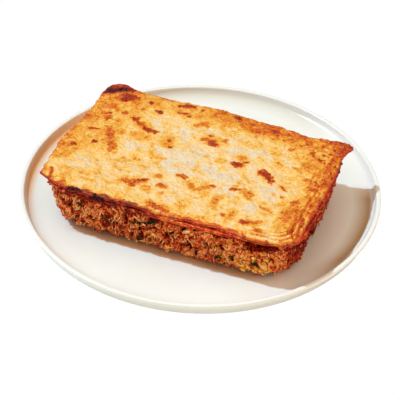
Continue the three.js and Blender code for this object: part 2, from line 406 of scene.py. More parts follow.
def makeLight():
    sun = bpy.data.lights.new("key", "SUN")
    sun.energy = light["sunStrength"]
    sun.color = light["sunColour"]
    sun.angle = math.radians(light["sunAngle"])
    made = inScene("key", sun)
    azimuth, elevation = math.radians(light["sunAzimuth"]), math.radians(light["sunElevation"])
    towards = Vector((
        math.cos(azimuth) * math.cos(elevation),
        math.sin(azimuth) * math.cos(elevation),
        math.sin(elevation),
    ))
    made.rotation_mode = "QUATERNION"
    made.rotation_quaternion = towards.to_track_quat("Z", "Y")

    # A warm ceiling, a low cool light in front, warm walls at the sides and a dark room behind
    world = bpy.data.worlds.new("studio")
    world.use_nodes = True
    bpy.context.scene.world = world
    tree = world.node_tree
    facing = addNode(tree, "ShaderNodeTexCoord").outputs["Generated"]
    x, y, z = addNode(tree, "ShaderNodeSeparateXYZ", {0: facing}).outputs
    colour = mixColour(tree, rangeOf(tree, x, *light["leftToRight"]), light["skyLeft"], light["skyRight"])
    colour = mixColour(tree, rangeOf(tree, y, *light["toBehind"]), colour, light["skyBehind"])
    front = mixColour(tree, rangeOf(tree, z, *light["upInFront"]), light["skyFrontLow"], light["skyFront"])
    colour = mixColour(tree, rangeOf(tree, y, *light["toFront"]), colour, front)
    colour = mixColour(tree, rangeOf(tree, z, *light["toHigh"]), colour, light["skyHigh"])
    tree.links.new(colour, tree.nodes["Background"].inputs["Color"])
    bpy.context.scene.view_settings.view_transform = "Standard"


# The studio floor is seen as plain white, as in a cut-out photograph, and gives soft light back.
def makeFloor():
    deselectAll()
    bpy.ops.mesh.primitive_plane_add(size=floorLook["size"])
    floor = justAdded("studioFloor")
    material, tree = newMaterial("studioWhite", {"Roughness": 0.9, "Base Color": floorLook["colour"]})
    seen = addNode(tree, "ShaderNodeLightPath").outputs["Is Camera Ray"]
    glow = {"Color": (1, 1, 1, 1), "Strength": floorLook["seenStrength"]}
    white = addNode(tree, "ShaderNodeEmission", glow).outputs[0]
    both = addNode(tree, "ShaderNodeMixShader", {0: seen, 1: shaderOf(material).outputs[0], 2: white})
    tree.links.new(both.outputs[0], tree.nodes["Material Output"].inputs["Surface"])
    floor.data.materials.append(material)


# The plate: one ring drawn out round its whole profile, as on a wheel

plate = {
    "sides": 160,
    "rimWidth": 3.5,
    "floorDepth": 6.5,
    "floorThickness": 5.3,
    "floorRadius": 114.0,
    "wallSlant": 4.2,
    "footRadius": 86.0,
    "footWidth": 6.0,
    "underFilms": 8.0,
}


def curvePoints(start, control, end, steps):
    for t in np.linspace(0, 1, steps + 1)[1:]:
        ways = zip(start, control, end)
        yield tuple((1 - t) ** 2 * a + 2 * t * (1 - t) * b + t * t * c for a, b, c in ways)


# Radius and height right round the section, from the middle underneath to the middle of the floor:
# points, and curves given as their control point, end and number of steps
def plateProfile():
    rim, top = plateRadius, plateHeight
    floor = top - plate["floorDepth"]
    under = floor - plate["floorThickness"]
    wall = rim - plate["wallSlant"]
    lip = rim - plate["rimWidth"]
    footIn = plate["footRadius"] - plate["footWidth"]
    footOut = plate["footRadius"]
    floorEnd = plate["floorRadius"]
    steps = [
        (2, under), (30, under), (footIn - 3, under), (footIn - 1.7, under),
        ((footIn - 0.9, under), (footIn - 0.4, 1.3), 4),
        ((footIn, 0), (footIn + 1.0, 0), 4),
        (footIn + 2, 0), (footOut - 2, 0), (footOut - 1.0, 0),
        ((footOut, 0), (footOut + 0.3, 1.1), 4),
        ((footOut + 0.8, under - 0.5), (footOut + 3, under - 0.3), 4),
        (footOut + 12, under - 0.2), (wall - 12, under), (wall - 6, under + 0.05),
        ((wall - 0.4, under + 0.1), (wall + 0.7, under + 3.2), 8),
        (wall + 2.0, under + 6.4), (rim - 0.25, top - 1.9),
        ((rim + 0.1, top), (rim - 1.2, top), 6),
        (lip + 1.2, top),
        ((lip, top), (lip - 0.25, top - 1.1), 6),
        ((lip - 1.1, floor + 0.1), (floorEnd, floor), 9),
        (floorEnd - 3, floor), (90, floor), (50, floor), (2, floor),
    ]
    points = []
    for step in steps:
        points += [step] if len(step) == 2 else curvePoints(points[-1], *step)
    return points


def makePlate():
    deselectAll()
    points = plateProfile()
    radius, height = points[0]
    bpy.ops.mesh.primitive_circle_add(vertices=plate["sides"], radius=radius, location=(0, 0, height))
    made = justAdded("stonewarePlate")
    bpy.ops.object.transform_apply(location=True)
    editMode()
    for nextRadius, nextHeight in points[1:]:
        bpy.ops.mesh.extrude_region_move()
        wider = nextRadius / radius
        bpy.ops.transform.resize(value=(wider, wider, 1), center_override=(0, 0, height))
        bpy.ops.transform.translate(value=(0, 0, nextHeight - height))
        radius, height = nextRadius, nextHeight
    bpy.ops.mesh.edge_face_add()  # the middle of the floor
    bpy.ops.mesh.select_all(action="DESELECT")
    bpy.ops.mesh.select_non_manifold()
    bpy.ops.mesh.edge_face_add()  # the middle of the underside
    faceOutwards(made)
    made.data.transform(Matrix.Scale(mm, 4))
    inOrder(made)
    bpy.ops.object.shade_smooth_by_angle(angle=math.radians(40))
    finishPiece(made, makeGlaze(), "plate")
    print("plate:", len(made.data.polygons), "faces")


# Painted brown shade under the slab's front overhang, where its shadow falls: v where it starts and where
# it is full, and its ends in u
paintedFootShade = {"rise": (-64, -60.5), "ends": (78, 56), "colour": (226, 186, 150)}
# Painted shade and light on the inside of the wall, each: turn of the middle, ends along the wall, radii
# where it thickens, its last radius and its colour; a warm painted tint on the sunlit right, painted shade
# at the others
paintedWallShading = [
    (0, (100, 76, -100, -80), (115, 119), 126.7, (240, 234, 229)),  # the right
    (-17, (50, 34, -66, -40), (110, 120.5), 122.8, (195, 163, 127)),  # where the slab's shadow ends
    (90, (100, 76, -100, -76), (112, 125), 125.6, (213, 208, 196)),  # the back
    (165, (74, 22, -84, -54), (119, 123), 126.7, (244, 193, 142)),  # the left
]


def rangeInMm(tree, value, start, end):
    return rangeOf(tree, value, start * mm, end * mm)


# How strongly one band of painted shade or light lies on the wall at each place, from 0 to 1
def wallShadingMask(tree, turn, ends, radii, last):
    x, y, z = placeIn(tree, turn)
    radius = maths(tree, "SQRT", maths(tree, "MULTIPLY_ADD", x, x, times(tree, y, y)))
    thick, upTo = rangeInMm(tree, radius, *radii), rangeInMm(tree, radius, last + 0.6, last - 0.6)
    oneEnd, otherEnd = rangeInMm(tree, y, *ends[:2]), rangeInMm(tree, y, *ends[2:])
    inside = times(tree, upTo, maths(tree, "GREATER_THAN", z, plate["underFilms"] * mm))
    return times(tree, thick, inside, times(tree, oneEnd, otherEnd, maths(tree, "GREATER_THAN", x, 0)))


def makeGlaze():
    values = {"Roughness": 0.22, "Coat Weight": 0.35, "Coat Roughness": 0.08}
    material, tree = newMaterial("warmWhiteGlaze", values)
    patches, grain = grainIn(tree, 60, 14, 1.2)[:2]
    tint = rampOf(tree, patches, [(0.0, (236, 235, 230)), (1.0, (240, 240, 236))])
    u, v = placeIn(tree, slab["turn"], (slab["centreX"] * mm, slab["centreY"] * mm, 0))[:2]
    # Painted brown shade under the slab's front overhang, where its shadow falls
    ends = rangeInMm(tree, maths(tree, "ABSOLUTE", u), *paintedFootShade["ends"])
    footShadeMask = times(tree, rangeInMm(tree, v, *paintedFootShade["rise"]), ends, maths(tree, "LESS_THAN", v, 0))
    tint = mixColour(tree, footShadeMask, tint, srgb(*paintedFootShade["colour"]))
    # Painted shade and light on the inside of the wall
    for *place, colour in paintedWallShading:
        tint = mixColour(tree, wallShadingMask(tree, *place), tint, srgb(*colour))
    return withSkin(material, tint, (patches, 0.25), (grain, 0.03))


# The baked cheese: a fine grid drawn out to the sheet's outline, with a lip extruded round it

cheese = {
    "length": 190.0,
    "width": 127.0,
    "offsetU": -2.0,
    "offsetV": 2.0,
    "corners": (5, 17, 6, 11),  # back right, back left, front left, front right
    "cellsAlong": 306,
    "cellsAcross": 204,
    "rimFraction": 0.987,
    "lipDrop": 0.9,
    "waveHeight": 0.75,
    "lumpHeight": 0.85,
    "grainHeight": 0.3,
    "blisterHeight": 0.6,
}
# Where the edge swells out or draws in: place along the side, how far, over what length
edgeSwells = {
    "left": [(-16, 3.6, 24)],
    "back": [(-6, 2.4, 20), (62, -3.2, 22), (-42, -1.2, 6)],
    "right": [(48, -1.8, 12), (10, 0.8, 16)],
    "front": [(68, 1.0, 11), (38, -1.0, 9), (-58, 0.8, 9)],
}
cornerCut = (-98.5, -52.5, -80, -60.8)  # the front left corner is cut off along this line
# The back left corner is rolled up round a line across it
cornerRoll = {"u": -97, "v": 47.6, "turn": 33.2, "radius": 5.4, "middle": 36.6}
# Where the lip hangs down over the side: place along the front, how far, over what length
drips = [(-6, 3.4, 7), (6, 1.6, 4), (-30, 1.0, 5), (52, 0.8, 6)]
# Golden patches of the crust: u, v, length, width, turn in degrees, how dark
goldenPatches = [
    (-92, 28, 64, 16, 90, 0.42), (-76, 44, 42, 30, 0, 0.36), (-56, 48, 30, 28, 0, 0.26),
    (-28, 54, 44, 20, 0, 0.38), (2, 56, 40, 16, 0, 0.43), (30, 55, 46, 18, 0, 0.53),
    (62, 52, 44, 20, 0, 0.47), (76, 30, 34, 22, 80, 0.42), (66, 36, 20, 18, 0, 0.36),
    (70, 6, 26, 18, 60, 0.3), (78, -30, 50, 16, 85, 0.42), (88, -42, 22, 8, 84, 0.5),
    (-74, 14, 26, 26, 0, 0.36), (-71, 24, 9, 8, 0, 0.44), (-88, -8, 34, 18, 90, 0.38),
    (-54, 12, 13, 11, 30, 0.33), (-29, 15, 19, 16, 0, 0.36), (-38, 34, 9, 7, 0, 0.28),
    (14, 8, 9, 7, 20, 0.4), (3, 9, 7, 6, 0, 0.27), (27, 17, 12, 10, 0, 0.42), (-31, -5, 15, 8, -20, 0.3),
    (-46, -15, 8, 6, 0, 0.28), (-75, -24, 9, 4, 0, 0.28), (-47, -29, 5, 4, 0, 0.36),
    (-19, -26, 10, 7, 0, 0.46), (-22, -42, 12, 9, 0, 0.46), (-41, -40, 14, 8, 85, 0.36),
    (-60, -41, 6, 4, 0, 0.3), (-76, -50, 16, 9, 0, 0.34), (-12, -36, 10, 7, 0, 0.5),
    (-10, -43, 5, 4, 0, 0.42), (5, -27, 16, 8, -35, 0.44), (14, -26, 14, 7, 45, 0.44),
    (8, -48, 17, 11, 80, 0.37), (27, -36, 17, 7, 78, 0.42), (42, -47, 22, 9, 88, 0.4),
    (46, -20, 11, 9, -40, 0.48), (35, -10, 9, 5, 80, 0.3), (58, -25, 9, 5, 0, 0.36),
    (62, -31, 13, 5, -20, 0.46), (68, -14, 6, 5, 0, 0.4), (53, 20, 13, 9, -50, 0.33),
    (62, 15, 9, 6, 0, 0.28), (33, -39, 9, 6, 80, 0.27), (-66, 35, 22, 12, 0, 0.36),
    (-14, 44, 16, 8, 40, 0.4), (0, 27, 21, 14, 0, 0.42), (50, 3, 16, 12, -55, 0.3),
    (-52, 25, 26, 13, -32, 0.4), (-68, 0, 30, 16, -58, 0.4), (-32, -38, 26, 12, 12, 0.42),
    (57, -48, 22, 9, 20, 0.42), (66, -55, 13, 7, 0, 0.42), (-8, -56, 26, 10, -4, 0.46),
    (24, -56, 22, 8, 0, 0.3), (-40, -54, 30, 8, 0, 0.3), (28, 36, 24, 12, 10, 0.3),
    (46, 34, 18, 14, -30, 0.33), (12, 40, 22, 10, 0, 0.3), (40, 20, 12, 8, 0, 0.24),
]
# Toasted spots: u, v, length, width, turn in degrees, how dark
spots = [
    (-60, 30, 8, 6, -38, 0.8), (-54, 26, 10, 5, -40, 0.7), (-47, 22, 12, 6, -14, 0.84),
    (-71, 6, 18, 7, -62, 0.62), (-64, -6, 13, 7, -52, 0.64), (1, 25, 9, 7, -30, 0.8),
    (-3, 33, 3.4, 2.6, 0, 0.9), (-6, 27, 8, 6, 40, 0.6), (8, 31, 7, 4, 50, 0.62),
    (27, 8, 10, 7, 20, 0.88), (31, 13, 5, 4, 40, 0.7), (48, 7, 9, 7, -20, 0.84), (53, 1, 9, 5, -55, 0.88),
    (-28, 13, 11, 9, 0, 0.46), (-28, 15, 4, 3, 0, 0.8), (-25, 9, 4.4, 3, 60, 0.78),
    (-34, -4, 9, 3.4, -60, 0.36), (-27, -5, 9, 3, 10, 0.36), (-33, -39, 12, 7, 5, 0.68),
    (-27, -35, 8, 4, 20, 0.84), (-32, -42, 6, 5, 0, 0.74), (-19, -26, 5, 4, 30, 0.62),
    (-13, -36, 6, 5, -20, 0.66), (-3, -20, 9, 5, -10, 0.66), (19, -21, 5, 3, 0, 0.68),
    (5, -26, 10, 5, -35, 0.52), (13, -27, 9, 4, 45, 0.54), (35, -19, 6, 3.5, 10, 0.74),
    (44, -21, 11, 6, -40, 0.52), (65, -5, 7, 4, -35, 0.72), (61, -31, 10, 3, -18, 0.5),
    (53, -50, 6, 6, 0, 0.8), (59, -47, 10, 3.5, 28, 0.66), (65, -55, 6, 3.5, 0, 0.68),
    (37, -48, 4, 3, -40, 0.66), (28, -39, 13, 4, -65, 0.46), (-9, -57, 13, 6, -8, 0.72),
    (-1, -59, 9, 4, 0, 0.66), (-90, -14.5, 5, 4.4, 0, 0.9), (-77, -6, 4.6, 4, 0, 0.9),
    (-84, 9, 9, 3.5, 10, 0.76), (-80, 24, 11, 5, 95, 0.72), (-71, 34.5, 5, 3.6, 30, 0.7),
    (-60, 44, 4, 3, 60, 0.62), (-49, 45, 5, 3, 0, 0.84), (-58, 53, 5, 4, 0, 0.86),
    (-79, 49, 6, 4, 0, 0.9), (-76, 54, 15, 9, 0, 0.86), (-33, 60, 13, 4.5, 10, 0.84),
    (-20, 60, 3, 4, 0, 0.78), (-31, 50, 8, 4, 25, 0.8), (-26, 48, 3, 2.6, 0, 0.82),
    (-17, 41, 6, 3.5, 30, 0.56), (-11, 44, 5, 4, 0, 0.54), (7, 62, 6, 3.4, 0, 0.86),
    (9, 58, 3, 3, 0, 0.7), (19, 59, 5, 3.4, 0, 0.78), (27, 52, 5, 3.4, 0, 0.72), (27, 47, 5, 3, 80, 0.5),
    (37, 57, 9, 5, -10, 0.76), (30, 61, 12, 4, 0, 0.66), (46, 56, 9, 4, 20, 0.66),
    (58, 57, 7, 4, 0, 0.68), (75, 53, 5, 3.4, 80, 0.76), (71, 42, 8, 4.4, -70, 0.76),
    (79, 43, 4, 3, 60, 0.78), (78, 36, 7, 3, 0, 0.8), (55, 41, 5, 3, 0, 0.6), (71, 26, 9, 8, 40, 0.56),
    (79, 11, 9, 4, 0, 0.6), (84, 2, 7, 4, 30, 0.7), (45, 31, 5, 3, 60, 0.4), (78, -16, 9, 6, 40, 0.66),
    (80, -25, 8, 5, 60, 0.68), (76, -30, 6, 4, 0, 0.56), (79, -34, 8, 5, 80, 0.6),
    (84, -47, 8, 4, 70, 0.7), (-92, -27, 10, 3.5, 85, 0.52), (-80, -50, 9, 4, 70, 0.4),
    (-84, 38, 8, 5, 0, 0.55), (66, 20, 5, 4, 0, 0.5), (62, -14, 4, 3, 0, 0.3), (-53, -25, 4, 3, 0, 0.3),
    (86, 30, 20, 5, 86, 0.62), (89, 52, 16, 5, 84, 0.74), (83, 47, 4, 3, 0, 0.78),
    (90, 12, 9, 4, 80, 0.7), (-82, 30, 5, 3.4, 30, 0.74),
]
# Long toasted marks: from u, v to u, v, width, how dark
streaks = [
    (-61, 31, -56, 26, 4, 0.74), (-56, 26, -49, 23, 3.4, 0.66), (-49, 23, -43, 20, 4.4, 0.74),
    (-73, 11, -68, 0, 4.0, 0.66), (-69, 2, -62, -9, 3.4, 0.6), (-70, 6, -61, -7, 2, 0.6),
    (-66, 3, -60, -8, 3, 0.44), (-40, -40, -34, -38, 4.4, 0.62), (-33, -38, -25, -34.5, 3.6, 0.72),
    (-37, 60, -28, 61, 3.4, 0.74), (-35, 49, -29, 51.5, 2.4, 0.72), (52, -50, 56, -48, 3.6, 0.7),
    (57, -48, 64, -45, 2.4, 0.6), (46, 9, 51, 3, 5.5, 0.78), (51, 3, 54, -1.5, 3.6, 0.74),
    (3, -26, 9, -30, 3.4, 0.5), (9, -30, 17, -23, 3, 0.5), (26, -34, 29, -44, 3, 0.44),
    (42, -18, 48, -25, 4.4, 0.48), (-13, -57.5, -2, -58.5, 3.6, 0.66), (-37, 0, -32, -7, 2.4, 0.34),
    (-32, -7, -23, -4.5, 2.4, 0.34), (57, -29, 68, -34, 2.6, 0.44), (70, 44, 73, 38, 2.6, 0.66),
    (75, 36.5, 81, 37.5, 2, 0.7), (24, 60, 38, 57, 3.4, 0.62), (48, 57, 60, 56, 3, 0.6),
    (87, 44, 88, 10, 2, 0.6), (86, -6, 86, -30, 2, 0.6), (84, -20, 85, -50, 1.6, 0.62),
    (88.5, -30, 90.5, -49, 2, 0.74), (88, -52, 82, -59, 1.6, 0.7), (80, 20, 81, 2, 1.6, 0.56),
]
# Milky patches where the cheese stayed pale: u, v, length, width, turn, how strong
milkyPatches = [
    (-4, 2, 30, 22, 0, 1.0), (-21, -5, 14, 12, 0, 1.0), (22, -8, 34, 18, -10, 1.0),
    (36, 24, 30, 14, 15, 0.8), (-26, 4, 20, 14, 0, 0.8), (10, 38, 30, 12, 0, 0.8),
    (-44, 30, 12, 24, 10, 0.8), (-52, 0, 22, 12, 0, 0.6), (-66, -30, 24, 12, 0, 0.6),
    (58, -12, 16, 12, 0, 0.9), (50, -34, 14, 10, 0, 0.7), (66, -46, 20, 8, 10, 0.9),
    (30, -22, 16, 10, 0, 0.8), (-10, -16, 22, 10, 0, 0.8), (44, -55, 14, 5, 0, 0.6),
    (-20, 30, 16, 12, 0, 0.8), (20, 22, 14, 10, 0, 0.7), (-78, -38, 12, 10, 0, 0.6),
    (56, 28, 10, 14, 20, 0.6), (-44, -22, 16, 8, 0, 0.5), (74, -56, 14, 4, 0, 0.7),
]
# Creases and cracks in the crust: from u, v to u, v, width, depth
creases = [(-92, -45, -86, -60, 3.6, 0.44), (12.5, -61, 16, -53, 0.9, 0.4), (84, -38, 89, -53, 1.6, 0.5)]


def swellAt(points, normals):
    total = np.zeros(len(points))
    horizontal = np.abs(normals[:, 0]) > np.abs(normals[:, 1])
    sides = {
        "right": horizontal & (normals[:, 0] > 0),
        "left": horizontal & (normals[:, 0] <= 0),
        "back": ~horizontal & (normals[:, 1] > 0),
        "front": ~horizontal & (normals[:, 1] <= 0),
    }
    for side, mask in sides.items():
        along = points[:, 1] if side in ("left", "right") else points[:, 0]
        for at, reach, spread in edgeSwells[side]:
            total += mask * reach * bump(along, at, spread)
    return total


# The cheese's edge at shares of the way round: places and outward normals
def cheeseEdge(shares):
    points, normals = roundedOutline(cheese["length"], cheese["width"], cheese["corners"], shares)
    u, v = points.T
    torn = 1 + 1.3 * (v < -50) * smooth(u, 0, -25) + smooth(u, -80, -90) * smooth(v, 46, 34)
    flat = flatAt(u, v)
    ragged = calmAt(u, v) * torn * (0.5 * lumpy(flat, 9, 3) + 0.3 * lumpy(flat, 2.6, 4))
    atTip = around(u, v, 96, 60, 8)
    tip = atTip * (3.2 * np.maximum(normals[:, 0], 0) ** 2 - 2.2 * normals[:, 1] ** 2)
    reach = swellAt(points, normals) + ragged + tip
    points = points + normals * reach[:, None] + (cheese["offsetU"], cheese["offsetV"])
    u0, v0, u1, v1 = cornerCut
    outward = np.array([v1 - v0, u0 - u1]) / math.hypot(u1 - u0, v1 - v0)
    beyond = np.maximum((points - (u0, v0)) @ outward, 0)
    return points - beyond[:, None] * outward, normals


# How far round the grid's border a place with x and y from -1 to 1 lies
def shareRound(x, y):
    along, across = cheese["cellsAlong"] / 2, cheese["cellsAcross"] / 2
    total = 4 * (along + across)
    fraction = np.maximum(np.maximum(np.abs(x), np.abs(y)), 1e-6)
    x, y = x / fraction, y / fraction
    backEnd, leftEnd = across + 2 * along, 3 * across + 2 * along
    cells = np.where(y >= 0, across * y, total + across * y)
    cells = np.where(x < -0.999999, backEnd + across * (1 - y), cells)
    cells = np.where(y > 0.999999, across + along * (1 - x), cells)
    cells = np.where(y < -0.999999, leftEnd + along * (1 + x), cells)
    return (cells % total) / total


# Distance inwards from each side of the sheet, for the toasting
def insideDistances(u, v):
    right = cheese["length"] / 2 + cheese["offsetU"] - u
    left = u + cheese["length"] / 2 - cheese["offsetU"]
    back = cheese["width"] / 2 + cheese["offsetV"] - v
    front = v + cheese["width"] / 2 - cheese["offsetV"]
    return left, right, back, front


# Distance inwards from the edge, following the front right corner round
def edgeDistance(u, v, radius=17):
    right, front = insideDistances(u, v)[1::2]
    fromArc = radius - np.hypot(radius - right, radius - front)
    return np.where((right < radius) & (front < radius), fromArc, np.minimum(right, front))


def blotches(shapes, u, v, wobble, outer, inner):
    field = np.zeros(len(u))
    for su, sv, length, width, turn, dark in shapes:
        reach = outer * length / 2 + 3
        near = (np.abs(u - su) < reach) & (np.abs(v - sv) < reach)
        angle = math.radians(turn)
        along = (u[near] - su) * math.cos(angle) + (v[near] - sv) * math.sin(angle)
        across = (v[near] - sv) * math.cos(angle) - (u[near] - su) * math.sin(angle)
        distance = np.hypot(along / (length / 2), across / (width / 2)) + 0.5 * wobble[near]
        field[near] = np.maximum(field[near], dark * smooth(distance, outer, inner))
    return field


def streakField(u, v, wobble):
    field = np.zeros(len(u))
    for u0, v0, u1, v1, width, dark in streaks:
        run = np.array([u1 - u0, v1 - v0])
        share = np.clip(((u - u0) * run[0] + (v - v0) * run[1]) / (run @ run), 0, 1)
        distance = np.hypot(u - u0 - share * run[0], v - v0 - share * run[1]) / (width / 2) + 0.45 * wobble
        field = np.maximum(field, dark * smooth(distance, 1.5, 0.6))
    return field


def creaseField(u, v):
    depth = np.zeros(len(u))
    for u0, v0, u1, v1, width, deep in creases:
        length = math.hypot(u1 - u0, v1 - v0)
        along = ((u - u0) * (u1 - u0) + (v - v0) * (v1 - v0)) / length
        across = ((v - v0) * (u1 - u0) - (u - u0) * (v1 - v0)) / length
        inside = smooth(along, -1, 1) * smooth(length - along, -1, 1)
        waving = across + 0.4 * np.sin(along * 0.5 + u0)
        depth = np.maximum(depth, deep * inside * bump(waving, 0, width / 2))
    return depth


# The folds and lines that follow the right side and turn into the front: about -1 to 1
def ridgeField(u, v, wobble):
    inwards = edgeDistance(u, v) + 1.3 * wobble
    along = 0.1 * (u - v)
    lines = lumpy(flatAt(inwards, along), 1.7, 15, 2)
    folds = np.cos(2 * math.pi * (inwards - 1.6) / 3.3) * (0.3 + 0.7 * smooth(v, -18, -42))
    strength = smooth(u, 48, 76) * smooth(inwards, 13, 8)
    return strength * (0.85 * folds + (1.0 + 0.5 * smooth(v, -5, -35)) * lines)


def cheeseHeight(u, v, fraction, toast):
    flat, calm = flatAt(u, v), calmAt(u, v)
    lumps = lumpy(flat, 8, 2, 3)
    height = slab["height"] - cheese["lipDrop"] * fraction ** 10
    height += cheese["waveHeight"] * lumpy(flat, 30, 1, 2)
    height += cheese["lumpHeight"] * lumps
    height += calm * cheese["grainHeight"] * (0.35 + 1.25 * toast) * lumpy(flat, 2.4, 5, 2)
    blisters = smooth(toast, 0.35, 0.95) * (1 + 0.5 * calm * lumpy(flat, 1.6, 6, 1))
    height += cheese["blisterHeight"] * blisters
    height -= 0.6 * around(u, v, 94, 62, 6)  # back right corner
    height += 1.2 * around(u, v, -97, -53, 9)  # front left corner
    height += 0.8 * ridgeField(u, v, lumps)
    return height - 1.2 * creaseField(u, v)


# How far the cheese is toasted, from 0, pale, to 1, burnt
def toastAt(u, v):
    left, right, back, front = insideDistances(u, v)
    flat = flatAt(u, v)
    broad, middle, fine = lumpy(flat, 22, 11, 3), lumpy(flat, 6, 12, 3), lumpy(flat, 2.2, 13, 2)
    toast = 0.15 + 0.1 * broad
    toast -= 0.2 * blotches(milkyPatches, u, v, 1.0 * middle + 0.4 * fine, 1.35, 0.5)
    toast += 0.225 * smooth(left + 12 * broad, 56, 18) * (0.45 + 0.4 * smooth(v, -45, 5))
    toast += (0.22 + 0.1 * smooth(u, -30, 10)) * smooth(back + 7 * broad, 26, 3)
    toast += 0.08 * smooth(back, 8, 0) + 0.12 * smooth(back, 14, 2) * smooth(u, -10, 30)
    toast += 0.37 * smooth(right + 5 * broad + 3 * middle, 20, 4)
    toast += 0.1 * smooth(front + 6 * broad, 12, 2)
    toast += 0.12 * smooth(left, 6, 0)
    golden = blotches(goldenPatches, u, v, 1.5 * middle + 0.6 * fine, 1.45, 0.4)
    toast = np.maximum(toast, 1.05 * golden)
    toast += 0.08 * smooth(middle, 0.1, 0.42) * smooth(broad, -0.5, 0.2)
    toast += (0.09 + 0.25 * toast) * middle + (0.015 + (0.2 + 0.18 * smooth(u, 10, 50)) * toast) * fine
    toast -= 0.26 * ridgeField(u, v, lumpy(flat, 8, 2, 3))
    toast = np.minimum(toast, 0.56 + 0.3 * np.maximum(toast - 0.56, 0))
    freckles = smooth(lumpy(flat, 1.9, 17, 1), 0.3, 0.44) * smooth(toast, 0.24, 0.4)
    toast += (0.16 + 0.16 * smooth(u, 20, 60)) * freckles
    wobble = middle + 1.1 * fine
    marks = np.maximum(blotches(spots, u, v, wobble, 1.42, 0.7), streakField(u, v, wobble))
    mottle = smooth(lumpy(flat, 1.2, 16, 2), -0.35, 0.3)
    toast = np.maximum(toast, np.minimum(0.8 * marks, 0.46) * (1 + 0.2 * fine))
    toast = np.maximum(toast, marks * (0.86 + 0.2 * mottle))
    rolled = beyondRoll(u, v) + 0.8 * middle
    charred = 0.98 - 0.24 * smooth(rolled, 5.2, 7.4) - 0.08 * smooth(u, -86, -74)
    toast = np.maximum(toast, charred * smooth(rolled, -0.8, 3.0))
    toast = np.maximum(toast, 0.94 * smooth(np.hypot(u - 97, v - 60) + 2 * middle + fine, 8, 3))
    toast = np.maximum(toast, 1.7 * creaseField(u, v))
    return np.clip(toast, 0, 1)


def beyondRoll(u, v):
    turn = math.radians(cornerRoll["turn"])
    return (v - cornerRoll["v"]) * math.cos(turn) - (u - cornerRoll["u"]) * math.sin(turn)


# What is rolled up is drawn out smoother
def calmAt(u, v):
    return 1 - 0.75 * smooth(beyondRoll(u, v), -1, 4)


# Rolls what lies beyond the line up and back, as a baked corner curls
def rollCorner(points):
    turn = math.radians(cornerRoll["turn"])
    radius = cornerRoll["radius"]
    distance = beyondRoll(points[:, 0], points[:, 1])
    beyond = 0.9 * np.logaddexp(0, distance / 0.9)
    angle = beyond / radius
    inner = radius - (points[:, 2] - cornerRoll["middle"])
    shift = inner * np.sin(angle) - beyond
    height = cornerRoll["middle"] + radius - inner * np.cos(angle)
    rolled = beyond > 0.01
    points[:, 0] += np.where(rolled, -math.sin(turn) * shift, 0)
    points[:, 1] += np.where(rolled, math.cos(turn) * shift, 0)
    points[:, 2] = np.where(rolled, height, points[:, 2])


# The last column, how much brighter, is painted light and shade that sets the rows apart, darkest on
# recessed rows
lipRows = [  # out beyond the edge, down from the lip's top, sauce on it, how much brighter
    (-0.35, 0.12, 0.6, 0.1),
    (0.05, 0.45, 0.95, 0.0),
    (0.2, 0.85, 1.0, -0.15),
    (-0.35, 1.2, 1.0, -0.4),
    (0.05, 1.45, 1.0, 0.1),
    (0.2, 1.75, 0.95, 0.12),
    (0.1, 2.2, 0.9, -0.05),
    (-0.9, 2.5, 1.0, -0.35),
]
undersideShares = (0.955, 0.9)


# How bright the sauce is: dark red at the front left, orange from the middle on
def sauceBrightness(u, v):
    front = smooth(v, -40, -55)
    left = smooth(u, -4, -22) * smooth(u, -86, -66)
    streaked = 0.2 * lumpy(flatAt(u / 2.5, v), 4, 44, 2)
    return 0.5 + front * (0.1 * smooth(u, -12, 8) - 0.28 * left) + streaked


# Draws rows of points out from the edge of what is chosen, and closes the last with a face
def drawOutRows(rows):
    bpy.ops.mesh.select_mode(type="EDGE")
    bpy.ops.mesh.region_to_loop()
    for row in range(rows):
        bpy.ops.mesh.extrude_region_move()
    bpy.ops.mesh.edge_face_add()
    objectMode()


